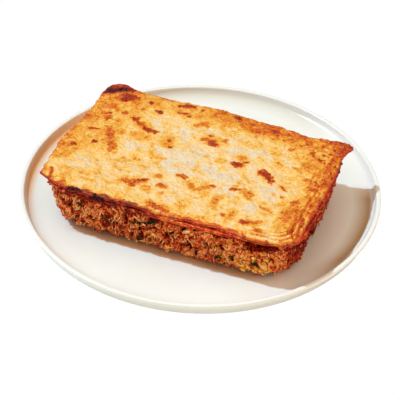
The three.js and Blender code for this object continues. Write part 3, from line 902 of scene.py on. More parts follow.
def makeCheese():
    deselectAll()
    along, across = cheese["cellsAlong"], cheese["cellsAcross"]
    bpy.ops.mesh.primitive_grid_add(x_subdivisions=along, y_subdivisions=across, size=2)
    made = justAdded("bakedCheese")
    grid = vertsOf(made)
    x, y = grid[:, 0] / np.abs(grid[:, 0]).max(), grid[:, 1] / np.abs(grid[:, 1]).max()
    fraction = np.maximum(np.abs(x), np.abs(y))
    shares = shareRound(x, y)
    centre = np.array([cheese["offsetU"], cheese["offsetV"]])
    place = (cheeseEdge(shares)[0] - centre) * (fraction * cheese["rimFraction"])[:, None] + centre
    u, v = place[:, 0], place[:, 1]
    toast = toastAt(u, v)
    moveVerts(made, np.column_stack([u, v, cheeseHeight(u, v, fraction, toast)]))
    paint(made, "share", shares)
    paint(made, "toast", toast)
    nearLip = insideDistances(u, v)[3] + 2.2 * lumpy(flatAt(u, v), 4, 14, 2)
    nearLip = nearLip - 0.8 * smooth(u, -28, -40) - 1.3 * bump(u, 28, 24) + 1.6 * bump(u, -1, 13)
    upToRight = smooth(u, 66, 50)
    creased = 0.2 * smooth(creaseField(u, v), 0.1, 0.4)
    paint(made, "sauce", np.maximum(creased, 0.9 * (smooth(nearLip, 1.9, 0.3) * upToRight)))
    paint(made, "toast", np.maximum(toast, 0.56 * smooth(nearLip, 2.8, 0.9) * upToRight))

    # The lip, row under row, and a flat underside
    editMode()
    rows = len(lipRows) + len(undersideShares)
    drawOutRows(rows)
    border = 2 * (along + across)
    points, shares = vertsOf(made), painted(made, "share")
    toast, sauce = painted(made, "toast"), painted(made, "sauce")
    glow = sauceBrightness(points[:, 0], points[:, 1])
    assert len(points) == len(grid) + rows * border, len(points)
    for row in range(rows):
        part = slice(len(grid) + row * border, len(grid) + (row + 1) * border)
        edge, normals = cheeseEdge(shares[part])
        u, v = edge.T
        flat = flatAt(u, v, row * 0.6)
        top = cheeseHeight(u, v, np.ones(border), toast[part])
        drip = sum(far * bump(u, at, half) for at, far, half in drips) * (v < -50)
        dry = smooth(u, -88, -94) * smooth(v, -52, -42)
        pale = smooth(u, 45, 62) * smooth(v, -44, -58)
        dripping = smooth(drip, 0.4, 2.0)
        if row < len(lipRows):
            out, down, red, brighter = lipRows[row]
            share = row / (len(lipRows) - 1)
            out = out + 0.3 * lumpy(flat, 3.2, 21 + row, 2) + 0.5 * share * (drip > 0.4)
            height = top - down - drip * share + 0.22 * lumpy(flat, 5, 31, 2) * share
            points[part] = np.column_stack([edge + normals * out[:, None], height])
            sauce[part] = red * (1 - 0.8 * dripping) * (1 - 0.65 * pale) * (1 - 0.85 * dry)
            # Lower rows browner; the rows' painted light and shade also go into the toast and the sauce's
            # brightness
            browner = 0.26 + 0.14 * share - 0.5 * min(brighter, 0)
            toast[part] = np.clip(toast[part] * 0.7 + browner, 0, 1)
            glow[part] = sauceBrightness(u, v) + brighter + 0.2 * dripping
        else:
            inner = (edge - centre) * undersideShares[row - len(lipRows)] + centre
            points[part] = flatAt(*inner.T, cheeseUnderside)
            sauce[part] = 1
    rollCorner(points)
    moveVerts(made, points)
    paint(made, "toast", toast)
    paint(made, "sauce", sauce)
    paint(made, "glow", glow)
    faceOutwards(made)
    inOrder(made)
    bpy.ops.object.shade_smooth()
    setDown(made)
    finishPiece(made, makeCheeseSkin(), "cheese_top")
    print("cheese:", len(made.data.polygons), "faces")


toastStops = [
    (0.0, (230, 208, 174)), (0.1, (240, 204, 150)), (0.22, (244, 196, 112)), (0.34, (238, 174, 66)),
    (0.47, (230, 144, 38)), (0.6, (214, 104, 18)), (0.72, (188, 62, 16)), (0.88, (150, 40, 12)),
    (0.95, (92, 14, 8)), (1.0, (44, 5, 10)),
]
sauceStops = [
    (0.0, (70, 6, 8)), (0.28, (140, 20, 10)), (0.5, (198, 48, 14)), (0.72, (232, 92, 30)),
    (1.0, (252, 164, 74)),
]


# Sauce brightness with its own grain, through the sauce colours
def sauceColour(tree, grain, patches):
    mixed = stirred(tree, attributeOf(tree, "glow"), grain, 0.5)
    return rampOf(tree, stirred(tree, mixed, patches, 0.3, clamp=True), sauceStops)


def makeCheeseSkin():
    material, tree = newMaterial("bakedCheeseSkin", {
        "Specular IOR Level": 0.3,
        "Subsurface Weight": 0.08,
        "Subsurface Radius": (1.0, 0.5, 0.2),
        "Subsurface Scale": 0.0015,
    })
    patches, grain, specks = grainIn(tree, 7, 2.2, 0.8)
    toast = attributeOf(tree, "toast")
    # The browner it is, the more it is mottled, but what is burnt black is even again.
    browned = times(tree, toast, toast, maths(tree, "SUBTRACT", 1.0, toast))
    spread = maths(tree, "MULTIPLY_ADD", browned, 0.95, 0.04)
    mottled = stirred(tree, toast, grain, spread)
    mottled = stirred(tree, mottled, specks, times(tree, spread, 1.1))
    skin = rampOf(tree, stirred(tree, mottled, patches, 0.12, clamp=True), toastStops)
    sauce = stirred(tree, attributeOf(tree, "sauce"), grain, 0.5, clamp=True)
    colour = mixColour(tree, sauce, skin, sauceColour(tree, grain, patches))
    rough = maths(tree, "MULTIPLY_ADD", grain, 0.22, 0.26)
    tree.links.new(rough, shaderOf(material).inputs["Roughness"])
    rougher = times(tree, grain, maths(tree, "ADD", toast, 0.35))
    return withSkin(material, colour, (patches, 0.9), (rougher, 0.6), (specks, 0.13))


# The tortilla sheet: a ring of leaves, each a little ragged, round a flat middle

trayLevels = [  # height, length, width, corner: the filling takes the shape of its tray
    (0.3, 168, 106, 20),
    (3, 178, 116, 24),
    (9, 183, 120, 24),
    (33, 188, 124, 22),
]
leafRows = [  # share of the sheet's thickness, out beyond the tray's outline
    (0.0, -1.4), (0.03, 0.3), (0.14, 0.9), (0.24, 0.7),
    (0.3, -0.7), (0.38, 0.6), (0.5, 1.2), (0.58, 1.0),
    (0.65, -0.6), (0.74, 0.7), (0.9, 1.0), (1.0, 0.3), (1.0, -1.2),
]
sheet = {"sides": 900, "startRadius": 60}
# Where the leaves draw in over the hollow under them
slot = {"u": 70, "halfLength": 14, "depth": 4.4}


def trayOutline(height, shares):
    heights = [level[0] for level in trayLevels]
    length, width, corner = (np.interp(height, heights, sizes) for sizes in list(zip(*trayLevels))[1:])
    return roundedOutline(length, width, (corner,) * 4, shares)


def makeTortilla():
    deselectAll()
    sides = sheet["sides"]
    bpy.ops.mesh.primitive_circle_add(vertices=sides, radius=sheet["startRadius"])
    made = justAdded("tortillaLeaves")
    editMode()
    bpy.ops.mesh.edge_face_add()
    bpy.ops.mesh.select_all(action="SELECT")
    drawOutRows(len(leafRows) - 1)
    circle = vertsOf(made)
    shares = (np.arctan2(circle[:, 1], circle[:, 0]) / (2 * math.pi)) % 1
    points = np.zeros_like(circle)
    bottom = fillingTop + slab["contactGap"]
    thickness = tortillaTop - bottom
    glow = np.zeros(len(points))
    for row, (share, out) in enumerate(leafRows):
        part = slice(row * sides, (row + 1) * sides)
        edge, normals = trayOutline(fillingTop, shares[part])
        u, v = edge.T
        flat = flatAt(u, v, 4 * (row // 4))  # the rows of one leaf go together
        single = flatAt(u, v, 1.7 * row)
        overHollow = bump(u, slot["u"], slot["halfLength"]) * (v < 0) * (share < 0.8)
        drawnIn = slot["depth"] * overHollow
        flare = (4.5 * share ** 2 - 2.5) * around(u, v, -88, -56, 10)  # the front left corner
        reach = out + 0.5 * lumpy(flat, 7, 41, 2) + 0.3 * lumpy(single, 2.4, 42, 2) - drawnIn + flare
        reach -= 2.6 * smooth(v, 16, 50) * (u > 60)
        inside = 0 < row < len(leafRows) - 2
        lift = 0.3 * lumpy(flat, 12, 43, 2) * inside
        height = np.clip(bottom + share * thickness + lift, bottom, tortillaTop)
        points[part] = np.column_stack([edge + normals * reach[:, None], height])
        # Outer leaves lighter and recessed leaves darker as painted light and shade, and darker over the
        # hollow as painted shade
        glow[part] = sauceBrightness(u, v) + 0.2 * lumpy(single, 3, 45, 2) + 0.1 * out
        glow[part] += 0.34 * around(u, v, -90, -54, 11) - 0.6 * overHollow
    paint(made, "glow", glow)
    u, v = points[:, 0], points[:, 1]
    rows = np.repeat(np.arange(len(leafRows)), sides)
    outside = (rows > 2) & (rows < len(leafRows) - 2)
    atFront = smooth(u, -4, -24) * smooth(v, -50, -57) * smooth(u, -95, -88) + 0.2 * smooth(u, 86, 91)
    paint(made, "ragged", outside * atFront * (0.3 + 0.7 * smooth(lumpy(points, 7, 46, 2), -0.3, 0.2)))
    moveVerts(made, points)
    faceOutwards(made)
    inOrder(made)
    bpy.ops.object.shade_smooth_by_angle(angle=math.radians(70))
    print("tortilla:", len(made.data.polygons), "faces")
    return made


def makeSauceSkin():
    material, tree = newMaterial("sauceSoakedTortilla", {"Roughness": 0.32, "Specular IOR Level": 0.22})
    patches, grain, specks = grainIn(tree, 12, 2.4, 0.9)
    return withSkin(material, sauceColour(tree, grain, patches), (grain, 0.4), (specks, 0.2))


# The filling: a core shaped like the tray, dark as painted shade where it shows between the crumbs, and the
# real crumbs scattered over its sides

core = {
    "voxel": 1.2,
    "lumpSize": 9.0,
    "lumpDepth": 2.6,
    "crumbSize": 2.6,
    "crumbDepth": 1.3,
    "hollowSize": 5.5,
    "hollowDepth": 2.4,
}
# The deep hollow under the sheet at the front right
cavity = {"u": 70, "v": -61, "z": 32, "length": 12.5, "height": 4.2, "depth": 7.5}


def displace(piece, kind, size, strength, middle=0.5):
    texture = bpy.data.textures.new(f"{piece.name}{kind}", kind)
    texture.noise_scale = size
    modifier = piece.modifiers.new(kind.lower(), "DISPLACE")
    modifier.texture = texture
    modifier.texture_coords = "LOCAL"
    modifier.strength = strength
    modifier.mid_level = middle


# The tray's levels below the filling's top, and one at the top: height, length, width
def coreLevels():
    levels = [level[:3] for level in trayLevels if level[0] < fillingTop]
    (height, *sizes), (endHeight, *endSizes) = levels[-1], trayLevels[-1][:3]
    share = (fillingTop - height) / (endHeight - height)
    return levels + [(fillingTop, *(size + share * (end - size) for size, end in zip(sizes, endSizes)))]


def makeCore():
    deselectAll()
    (height, length, width), *others = coreLevels()
    bpy.ops.mesh.primitive_plane_add(size=1, location=(0, 0, height))
    made = justAdded("fillingCore")
    bpy.ops.object.transform_apply(location=True)
    editMode()
    bpy.ops.transform.resize(value=(length, width, 1), center_override=(0, 0, height))
    bpy.ops.mesh.bevel(offset=trayLevels[0][3], segments=10, affect="VERTICES")
    for nextHeight, nextLength, nextWidth in others:
        bpy.ops.mesh.extrude_region_move(TRANSFORM_OT_translate={"value": (0, 0, nextHeight - height)})
        wider = (nextLength / length, nextWidth / width, 1)
        bpy.ops.transform.resize(value=wider, center_override=(0, 0, nextHeight))
        height, length, width = nextHeight, nextLength, nextWidth
    faceOutwards(made)
    remesh = made.modifiers.new("even", "REMESH")
    remesh.mode = "VOXEL"
    remesh.voxel_size = core["voxel"]
    displace(made, "CLOUDS", core["lumpSize"], core["lumpDepth"], 0.62)
    displace(made, "VORONOI", core["crumbSize"], core["crumbDepth"], 0.6)
    applyModifiers(made)
    points = vertsOf(made)
    u, v, z = points.T
    near = bump(u, cavity["u"], cavity["length"]) * bump(z, cavity["z"], cavity["height"])
    points[:, 1] += cavity["depth"] * near * smooth(v, cavity["v"] + 12, cavity["v"] + 4)
    u, v, z = points.T.copy()
    drawnIn = 3.2 * around(u, v, -90, -58, 16)
    rightCorner = 2.8 * around(u, v, 90, -56, 17) * smooth(z, 38, 14)
    atFoot = smooth(z, 12, 1)
    points[:, 0] += -1.8 * smooth(u, 78, 92) - 0.018 * u * atFoot + 0.8 * drawnIn
    points[:, 1] += -0.03 * v * atFoot + 0.6 * drawnIn
    points[:, 0] -= rightCorner + 2.6 * smooth(v, 16, 50) * smooth(u, 60, 90)
    points[:, 1] += 0.5 * rightCorner
    points[:, 2] = np.clip(z, slab["contactGap"], fillingTop)
    moveVerts(made, points)
    # Hollows between the clumps
    hollow = smooth(lumpy(points, core["hollowSize"], 51, 2), -0.08, -0.34)
    normals = normalsOf(made)
    atSide = smooth(np.abs(normals[:, 2]), 0.85, 0.5) * smooth(z, 1.5, 4) * smooth(z, 33, 30)
    points -= core["hollowDepth"] * (hollow * atSide)[:, None] * normals
    moveVerts(made, points)
    paint(made, "hollow", hollow * atSide)
    bpy.ops.object.shade_smooth()
    return made


innerBlock = {"halfLength": 70, "halfWidth": 38}


# Which way is out from the middle of the block, past the tray's rounded corners
def paintOutward(piece):
    u, v = vertsOf(piece)[:, :2].T
    outU = np.maximum(np.abs(u) - innerBlock["halfLength"], 0) * np.sign(u)
    outV = np.maximum(np.abs(v) - innerBlock["halfWidth"], 0) * np.sign(v)
    length = np.maximum(np.hypot(outU, outV), 1e-6)
    paint(piece, "outU", outU / length)
    paint(piece, "outV", outV / length)


# How densely the sides are covered at each vertex of the core
def paintCover(surface):
    points, normals = vertsOf(surface), normalsOf(surface)
    u, v, z = points.T
    side = smooth(np.abs(normals[:, 2]), 0.85, 0.6) * smooth(z, 0.8, 2.2)
    side = side * smooth(z, fillingTop - 0.2, fillingTop - 1.6)
    hollow = bump(u, cavity["u"], cavity["length"] * 0.9) * bump(z, cavity["z"], cavity["height"])
    gaps = 1 - painted(surface, "hollow")
    side *= 1 - smooth(hollow * (v < -40), 0.15, 0.5)
    paintOutward(surface)
    paint(surface, "cover", side * (0.12 + 0.88 * gaps) * (1 - 0.3 * smooth(u, 84, 90)))
    atRight = 1 - 0.8 * smooth(u, 84, 90)
    paint(surface, "strands", side * (0.1 + 0.9 * gaps) * smooth(z, 2.5, 6) * atRight)
    goldPlace = bump(u, 65, 19) * bump(z, 12, 9) * smooth(z, 3, 7) * (v < -30)
    elsewhere = 0.06 * smooth(lumpy(points, 20, 52, 2), 0, 0.5) * smooth(u, 88, 80)
    paint(surface, "golden", side * np.clip(goldPlace * smooth(u, 86, 80) + elsewhere, 0, 1))
    paint(surface, "greens", side * smooth(lumpy(points, 16, 53, 2), 0.05, 0.5) * (v > -50))


# One kind of bit, modelled a few times over, each a little different
def makeKinds(name, count, make):
    kinds = bpy.data.collections.new(name)
    bpy.context.scene.collection.children.link(kinds)
    for index in range(count):
        deselectAll()
        make(index)
        bit = justAdded(f"{name}{index}")
        bpy.ops.object.transform_apply(location=True, rotation=True, scale=True)
        if make is not nugget:
            bpy.ops.object.shade_smooth()
        for holder in list(bit.users_collection):
            holder.objects.unlink(bit)
        kinds.objects.link(bit)
    return kinds


# Cuts what is being edited finer, pushes its points about and squeezes it
def roughen(cut, push, squeeze):
    if cut:
        bpy.ops.mesh.subdivide(**cut)
    bpy.ops.transform.vertex_random(**push)
    bpy.ops.transform.resize(value=squeeze)
    objectMode()


def nugget(index):
    bpy.ops.mesh.primitive_cube_add(size=0.9)
    editMode()
    push = {"offset": 0.27, "uniform": 1.0, "normal": 0.0, "seed": index * 7 + 3}
    squeeze = (1, 0.72 + 0.1 * (index % 3), 0.62 + 0.08 * (index % 4))
    roughen({"number_cuts": 1, "smoothness": 0.7}, push, squeeze)


def crumb(index):
    bpy.ops.mesh.primitive_ico_sphere_add(subdivisions=1, radius=0.5)
    editMode()
    push = {"offset": 0.12, "uniform": 0.7, "normal": 0.2, "seed": index * 5 + 1}
    roughen(None, push, (1, 0.8, 0.6 + 0.1 * (index % 3)))


# A burnt scrap: a flat piece
def crumpled(index):
    bpy.ops.mesh.primitive_cube_add(size=0.9)
    editMode()
    push = {"offset": 0.2, "uniform": 0.9, "normal": 0.1, "seed": index * 3 + 5}
    roughen({"number_cuts": 2, "smoothness": 0.6}, push, (1, 0.8, 0.5))


# A shred lies along x and bends a little
def shred(index):
    bpy.ops.mesh.primitive_cylinder_add(vertices=6, radius=0.1, depth=1, rotation=(0, math.pi / 2, 0))
    bpy.ops.object.transform_apply(rotation=True)
    editMode()
    bpy.ops.mesh.select_all(action="DESELECT")
    objectMode()
    piece = bpy.context.object
    for edge in piece.data.edges:
        ends = [piece.data.vertices[i].co for i in edge.vertices]
        edge.select = abs(ends[0].x - ends[1].x) > 0.5
    bpy.ops.object.mode_set(mode="EDIT")
    bpy.ops.mesh.select_mode(type="EDGE")
    bpy.ops.mesh.subdivide(number_cuts=3)
    objectMode()
    points = vertsOf(piece)
    bend = 0.16 + 0.08 * (index % 3)
    points[:, 1] += bend * (points[:, 0] ** 2) * (1 if index % 2 else -1)
    points[:, 2] += 0.06 * np.sin(points[:, 0] * 6 + index)
    thin = 1 - 0.5 * smooth(np.abs(points[:, 0]), 0.3, 0.5)
    points[:, 1:] *= thin[:, None]
    moveVerts(piece, points)


# A strip of pepper: a flat curved box, cut finer and its points pushed about a little
def strip(index):
    bpy.ops.mesh.primitive_cube_add(size=1)
    editMode()
    bpy.ops.mesh.subdivide(number_cuts=2)
    bpy.ops.transform.resize(value=(1, 0.34, 0.15))
    bpy.ops.transform.vertex_random(offset=0.03, uniform=0.6, seed=index + 2)
    objectMode()
    piece = bpy.context.object
    points = vertsOf(piece)
    points[:, 2] += (0.25 + 0.1 * index) * points[:, 0] ** 2
    moveVerts(piece, points)


def ring(index):
    segments = {"major_segments": 20, "minor_segments": 8}
    bpy.ops.mesh.primitive_torus_add(major_radius=0.38, minor_radius=0.12, **segments)


bitWidths = {strip: 0.34, nugget: 0.75, ring: 1.0, crumpled: 0.8}
bitDepths = {strip: 0.3, nugget: 0.7, ring: 0.24, crumpled: 0.5}


# Scatters copies of a kind over a surface, one piece in all, as real joined mesh
def scatter(name, surface, kinds, look):
    tree = bpy.data.node_groups.new(name, "GeometryNodeTree")
    for way in ("INPUT", "OUTPUT"):
        tree.interface.new_socket("Geometry", in_out=way, socket_type="NodeSocketGeometry")

    def step(kind, values, output=0, **settings):
        return addNode(tree, kind, values, **settings).outputs[output]

    def named(attribute):
        return step("GeometryNodeInputNamedAttribute", {"Name": attribute}, "Attribute", data_type="FLOAT")

    def atRandom(values, turn, output=1, kind="FLOAT"):
        values = {**values, "Seed": look["seed"] + turn}
        return step("FunctionNodeRandomValue", values, output, data_type=kind)

    points = step("GeometryNodeDistributePointsOnFaces", {
        "Mesh": step("GeometryNodeObjectInfo", {"Object": surface}, "Geometry"),
        "Distance Min": look["apart"],
        "Density Max": look["density"],
        "Density Factor": named(look["where"]),
        "Seed": look["seed"],
    }, "Points", distribute_method="POISSON")
    source = {"Collection": kinds, "Separate Children": True, "Reset Children": True}
    # Out of the face first, up along it second, and then leant and spun at random
    outward = step("ShaderNodeCombineXYZ", {"X": named("outU"), "Y": named("outV")})
    facing = step(
        "FunctionNodeAxesToRotation",
        {"Primary Axis": outward, "Secondary Axis": (0, 0, 1)},
        "Rotation",
        primary_axis="Z",
        secondary_axis="X",
    )
    lean, spin = look["lean"], look["spin"]
    turn = atRandom({0: (-lean, -lean, -spin), 1: (lean, lean, spin)}, 1, 0, "FLOAT_VECTOR")
    turned = {"Rotation": facing, "Rotate By": turn}
    copies = step("GeometryNodeInstanceOnPoints", {
        "Points": points,
        "Instance": step("GeometryNodeCollectionInfo", source, "Instances"),
        "Pick Instance": True,
        "Rotation": step("FunctionNodeRotateRotation", turned, "Rotation", rotation_space="LOCAL"),
        "Scale": atRandom({2: look["sizes"][0], 3: look["sizes"][1]}, 2),
    }, "Instances")
    sunk = {"Instances": copies, "Translation": (0, 0, look["sink"])}
    toned = {
        "Geometry": step("GeometryNodeTranslateInstances", sunk, "Instances"),
        "Name": "tone",
        "Value": atRandom({}, 3),
    }
    toned = step("GeometryNodeStoreNamedAttribute", toned, "Geometry", data_type="FLOAT", domain="INSTANCE")
    real = step("GeometryNodeRealizeInstances", {"Geometry": toned}, "Geometry")
    addNode(tree, "NodeGroupOutput", {"Geometry": real})

    deselectAll()
    bpy.ops.mesh.primitive_plane_add(size=1)
    made = justAdded(name)
    modifier = made.modifiers.new("scatter", "NODES")
    modifier.node_group = tree
    applyModifiers(made)
    bpy.data.node_groups.remove(tree)
    return made


# The right side is smooth, so the bits there are pressed flat; none lies below the plate's floor
rightWall = {"u": 89.4, "slant": 0.08, "drawnIn": 2.2, "pressed": 0.65}
bitLevels = {"lowest": 0.12, "overTop": 0.15}


def keepOnPlate(piece):
    points = vertsOf(piece)
    u, v, z = points.T
    wall = rightWall["u"] + rightWall["slant"] * z - rightWall["drawnIn"] * smooth(v, 16, 50)
    points[:, 0] -= rightWall["pressed"] * np.maximum(u - wall, 0)
    points[:, 2] = np.clip(z, bitLevels["lowest"], fillingTop + bitLevels["overTop"])
    moveVerts(piece, points)


bits = {
    "meatCrumbs": {
        "make": nugget, "kinds": 6, "where": "cover", "seed": 11, "apart": 1.8, "density": 0.8,
        "sizes": (1.4, 3.9), "lean": 1.3, "spin": 3.1, "sink": -0.1,
    },
    "fineCrumbs": {
        "make": crumb, "kinds": 5, "where": "cover", "seed": 23, "apart": 1.1, "density": 0.9,
        "sizes": (0.7, 1.7), "lean": 3.1, "spin": 3.1, "sink": 0.5,
    },
    "tortillaShreds": {
        "make": shred, "kinds": 5, "where": "strands", "seed": 37, "apart": 1.5, "density": 0.5,
        "sizes": (2.2, 4.8), "lean": 0.4, "spin": 1.0, "sink": 0.5,
    },
    "lipCrumbs": {
        "make": nugget, "kinds": 6, "where": "ragged", "seed": 71, "apart": 1.3, "density": 0.8,
        "sizes": (1.2, 2.8), "lean": 1.2, "spin": 3.1, "sink": 0.0,
    },
    "goldenBits": {
        "make": nugget, "kinds": 4, "where": "golden", "seed": 43, "apart": 2.2, "density": 0.34,
        "sizes": (1.8, 3.6), "lean": 1.2, "spin": 3.1, "sink": 0.5,
    },
    "pepperBits": {
        "make": strip, "kinds": 3, "where": "greens", "seed": 59, "apart": 9.0, "density": 0.008,
        "sizes": (3.0, 6.0), "lean": 0.15, "spin": 1.6, "sink": 0.4,
    },
}
crumbColours = {
    "meatCrumbs": [(0.0, (132, 18, 2)), (0.3, (198, 54, 12)), (0.6, (246, 100, 34)), (1.0, (255, 166, 94))],
    "sauceCrumbs": [(0.0, (84, 10, 0)), (0.4, (140, 24, 2)), (0.75, (190, 58, 8)), (1.0, (232, 120, 40))],
    "fineCrumbs": [
        (0.0, (140, 24, 0)), (0.4, (226, 82, 22)), (0.75, (252, 140, 68)), (1.0, (255, 204, 140)),
    ],
    "tortillaShreds": [
        (0.0, (150, 28, 2)), (0.5, (230, 84, 24)), (0.85, (252, 142, 64)), (1.0, (255, 194, 120)),
    ],
    "goldenBits": [(0.0, (206, 84, 8)), (0.5, (242, 146, 34)), (1.0, (255, 206, 98))],
    "charred": [(0.0, (22, 3, 10)), (0.45, (66, 8, 22)), (0.75, (116, 22, 22)), (1.0, (170, 62, 30))],
    "pepperBits": [(0.0, (20, 10, 2)), (0.5, (54, 36, 8)), (1.0, (112, 80, 26))],
    "onionBits": [(0.0, (176, 80, 24)), (0.5, (214, 128, 56)), (1.0, (244, 184, 112))],
}
# Which colours a piece takes where its own name has none
sharedColours = {
    "pepperStrips": "pepperBits",
    "charredPepper": "charred",
    "cornPieces": "goldenBits",
    "onionRing": "onionBits",
    "looseFlakes": "meatCrumbs",
    "lipCrumbs": "sauceCrumbs",
}
crumbRoughness = {
    "goldenBits": 0.4,
    "pepperStrips": 0.5,
    "pepperBits": 0.5,
    "charredPepper": 0.3,
    "lipCrumbs": 0.3,
}
crumbShine = {"charredPepper": 0.16, "lipCrumbs": 0.3, "pepperStrips": 0.06, "pepperBits": 0.06}


def crumbMaterial(name):
    roughness, shine = crumbRoughness.get(name, 0.34), crumbShine.get(name, 0.13)
    material, tree = newMaterial(name, {"Roughness": roughness, "Specular IOR Level": shine})
    patches, grain, specks = grainIn(tree, 8, 1.6, 0.6)
    tone = stirred(tree, attributeOf(tree, "tone"), grain, 1.25)
    tone = stirred(tree, tone, patches, 0.6, clamp=True)
    stops = crumbColours[sharedColours.get(name, name)]
    return withSkin(material, rampOf(tree, tone, stops), (grain, 0.45), (specks, 0.2))


# The core's dark colour is painted shade for the gaps between the crumbs
def shadedDepthsMaterial():
    material, tree = newMaterial("fillingDepths", {"Roughness": 0.5, "Specular IOR Level": 0.06})
    grain, specks = grainIn(tree, 7, 2.0, 0.7)[1:]
    colour = rampOf(tree, grain, [(0.0, (36, 3, 0)), (0.5, (92, 14, 2)), (1.0, (164, 52, 12))])
    return withSkin(material, colour, (grain, 0.6), (specks, 0.2))


# Bits that lie where the cut face shows them: u, v, z, then length, width and thickness,
# then how far it leans along the face and how far back from it, in degrees
placedBits = {
    "pepperStrips": {"make": strip, "tones": (0.1, 0.85), "places": [
        (-8.5, -63.4, 28.2, 11, 2.6, 1.8, -30, 0), (-16, -63.2, 25.0, 7, 2.2, 1.6, -16, 0),
        # The strip at u -38 lies in a dark gap of the face: a dark piece that is partly painted shade
        (-42, -62.8, 20.4, 7, 2.0, 1.6, 4, 0), (-38, -62.8, 19.2, 4.4, 1.7, 1.5, 16, 0),
        (-17.5, -61.8, 10.2, 4.4, 3.0, 2.0, -20, 0), (-22, -63.2, 23.0, 5, 1.6, 1.4, 20, 0),
        (24, -61.6, 12.5, 6.4, 1.8, 1.5, 84, 0), (41, -62.2, 13, 4, 3.0, 1.6, 10, 0),
        (50, -62.2, 15.5, 4, 2.4, 1.6, 40, 0), (67, -62.0, 15.0, 5, 2.6, 1.6, 0, 0),
        (-62, -63.0, 27.0, 4, 1.6, 1.4, 30, 0), (7, -63.0, 24.0, 4, 1.6, 1.4, -30, 0),
    ]},
    "charredPepper": {"make": crumpled, "tones": (0.18, 0.8), "places": [
        (-70.5, -61.8, 37.4, 3.0, 1.8, 1.4, -12, 40), (-68.2, -61.2, 38.2, 2.6, 1.8, 1.2, 20, 60),
        (-66.0, -61.6, 37.7, 3.2, 1.8, 1.3, -30, 40), (-63.9, -61.6, 37.6, 2.6, 1.7, 1.3, 8, 50),
        (-61.8, -62.1, 36.5, 2.8, 1.6, 1.1, 40, 20), (-67.2, -62.3, 36.3, 3.0, 1.4, 1.1, -4, 12),
        (-64.6, -62.3, 35.7, 2.2, 1.4, 1.0, 30, 10), (-72.8, -62.0, 36.2, 2.2, 1.4, 1.0, 0, 20),
        (-53.4, -62.2, 36.2, 2.4, 1.8, 1.2, 14, 30), (-51.4, -61.8, 37.2, 2.4, 1.8, 1.3, -30, 50),
        (-49.4, -62.0, 36.8, 2.6, 1.7, 1.3, 20, 40), (-47.6, -62.5, 35.4, 2.4, 1.6, 1.2, 50, 14),
        (-50.6, -62.7, 35.0, 2.6, 1.6, 1.1, 0, 10), (-45.6, -62.7, 34.6, 2.0, 1.3, 1.0, 20, 10),
        (-36, -62.8, 33.8, 2.4, 1.4, 1.1, 12, 10), (-57, -62.8, 34.6, 2.0, 1.2, 0.9, -16, 10),
        (-27.4, -62.8, 34.0, 2.2, 1.2, 1.0, -8, 10), (-31, -62.8, 33.4, 1.8, 1.2, 1.0, 30, 10),
        (93.0, 24, 29.5, 2.0, 2.6, 2.0, 60, 0), (90.4, 6, 21.0, 2.0, 2.6, 2.0, 90, 0),
    ]},
    "cornPieces": {"make": crumpled, "tones": (0.4, 1.0), "places": [
        (73, -60.6, 13.4, 4.6, 3.2, 2.6, 20, 0), (76.0, -59.6, 11.0, 4.2, 3.4, 2.6, -30, 0),
        (70.4, -60.4, 10.2, 3.6, 2.6, 2.4, 60, 0), (62, -61.6, 11, 4.0, 2.4, 2.2, 40, 0),
        (66.5, -60.2, 7.6, 3.8, 2.6, 2.4, 0, 0), (53.5, -61.8, 12.4, 3.4, 2.0, 2.0, 30, 0),
        (59, -62.4, 19, 3.2, 1.8, 1.8, 60, 0), (74, -61.0, 20.5, 3.2, 2.0, 2.0, 15, 0),
        (57.5, -60.4, 6.6, 3.6, 2.2, 2.0, 20, 0), (3, -62.0, 9.6, 3.0, 1.8, 1.8, 15, 0),
    ]},
    "onionBits": {"make": nugget, "tones": (0.5, 1.0), "places": [
        (17.6, -64.0, 28.2, 4.6, 1.9, 1.8, -12, 0), (-6, -63.6, 17.8, 3.0, 1.6, 1.5, 30, 0),
        (-19, -63.6, 22.4, 3.0, 1.5, 1.4, 30, 0), (-14, -63.6, 24.6, 2.4, 1.4, 1.4, 0, 0),
    ]},
    "onionRing": {"make": ring, "tones": (0.2, 0.4), "places": [
        (-9.4, -62.4, 12.4, 6.0, 7.0, 3.2, 10, 0), (41, -62.0, 10.4, 4.6, 4.2, 2.6, 0, 0),
    ]},
    "looseFlakes": {"make": nugget, "tones": (0.4, 0.8), "places": [
        (89.6, -32.5, 4.6, 5.0, 2.6, 2.0, 10, 0), (-86.5, 10, 3.0, 4.0, 3.0, 2.0, 40, 0),
        (-30, 60.5, 2.6, 4.6, 3.0, 2.2, 0, 0), (40, 60.0, 2.4, 4.0, 3.0, 2.0, 0, 0),
    ]},
}


def placeBits(name, look):
    made = []
    low, high = look["tones"]
    make = look["make"]
    for index, (u, v, z, length, width, thickness, lean, back) in enumerate(look["places"]):
        deselectAll()
        make(index)
        bit = justAdded(f"{name}{index}")
        bit.scale = (length, width / bitWidths[make], thickness / bitDepths[make])
        bpy.ops.object.transform_apply(scale=True)
        bit.rotation_euler = (math.radians(90 - back), math.radians(lean), 0)
        bit.location = (u, v, z)
        bpy.ops.object.transform_apply(location=True, rotation=True)
        tone = low + (high - low) * random.random()
        paint(bit, "tone", np.full(len(bit.data.vertices), tone))
        made.append(bit)
    pick(made[0])
    for bit in made:
        bit.select_set(True)
    if len(made) > 1:
        bpy.ops.object.join()
    piece = justAdded(name)
    soft = piece.modifiers.new("soft", "SUBSURF")
    soft.levels = soft.render_levels = 1
    displace(piece, "CLOUDS", 1.6, 0.7)
    applyModifiers(piece)
    if make is not crumpled:
        bpy.ops.object.shade_smooth()
    return piece
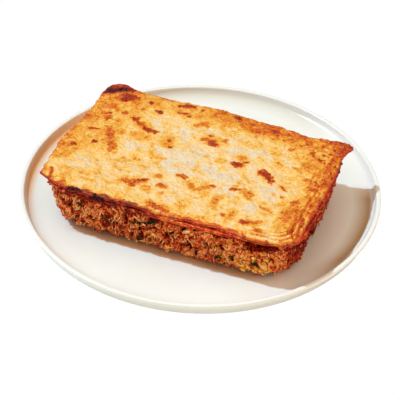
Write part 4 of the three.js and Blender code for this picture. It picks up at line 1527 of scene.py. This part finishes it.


# Painted shade under the lip, round the right side away from the sun, in the hollows, in the cavity under
# the sheet and along the foot; painted light on the sunlit left end; golden low down at the front right
def toneWithPaintedShade(piece):
    points = vertsOf(piece)
    u, v, z = points.T
    tone = painted(piece, "tone")
    tone += 0.3 * (tone - 0.5) * smooth(u, -10, -40)
    # Lighter overall, a little darker at the back, and painted shade round the right side, away from the
    # sun
    tone += 0.28 - 0.08 * (v > 30) - 0.74 * smooth(u, 82, 90)
    # Painted shade under the lip
    tone -= 0.14 * smooth(z, 24, 30) * smooth(u, -60, -30)
    tone += 0.16 * bump(u, 66, 18) * bump(z, 9, 9) * (v < -40) + 0.08 * smooth(u, -60, -84)
    # Painted light on the sunlit left end
    tone += (0.16 + 0.24 * smooth(v, -15, -45)) * smooth(u, -83, -91)
    # Painted shade along the foot
    tone += 0.14 * smooth(u, -40, 20) - 0.3 * smooth(z, 4, 0.5) * smooth(u, 50, 20)
    # Painted shade in the hollows and in the cavity under the sheet
    hollowShade = smooth(lumpy(points, core["hollowSize"], 51, 2), 0.0, -0.3)
    tone += 0.26 * lumpy(points, 12, 62, 2) - 0.6 * hollowShade
    cavityShade = bump(u, cavity["u"] - 2, cavity["length"]) * bump(z, cavity["z"] - 1.5, 5)
    tone -= 0.95 * smooth(cavityShade, 0.25, 0.6) * (v < -40)
    paint(piece, "tone", tone)


def makeFilling(tortilla):
    surface = makeCore()
    paintCover(surface)
    paintOutward(tortilla)
    print("filling core:", len(surface.data.polygons), "faces")
    pieces = []
    for name, look in bits.items():
        kinds = makeKinds(f"{name}Kind", look["kinds"], look["make"])
        piece = scatter(name, tortilla if look["where"] == "ragged" else surface, kinds, look)
        for bit in list(kinds.objects):
            dropPiece(bit)
        bpy.data.collections.remove(kinds)
        pieces.append(piece)
    pieces += [placeBits(name, look) for name, look in placedBits.items()]
    for piece in pieces:
        name = piece.name
        if name in ("meatCrumbs", "fineCrumbs", "tortillaShreds"):
            toneWithPaintedShade(piece)
        if name not in ("charredPepper", "lipCrumbs"):
            keepOnPlate(piece)
        setDown(piece)
        finishPiece(piece, crumbMaterial(name), "filling")
        print(name + ":", len(piece.data.polygons), "faces")
    setDown(tortilla)
    finishPiece(tortilla, makeSauceSkin(), "tortilla_layer")
    setDown(surface)
    finishPiece(surface, shadedDepthsMaterial(), "filling")


random.seed(7)
makeCamera()
makeLight()
makeFloor()
makePlate()
makeCheese()
makeFilling(makeTortilla())
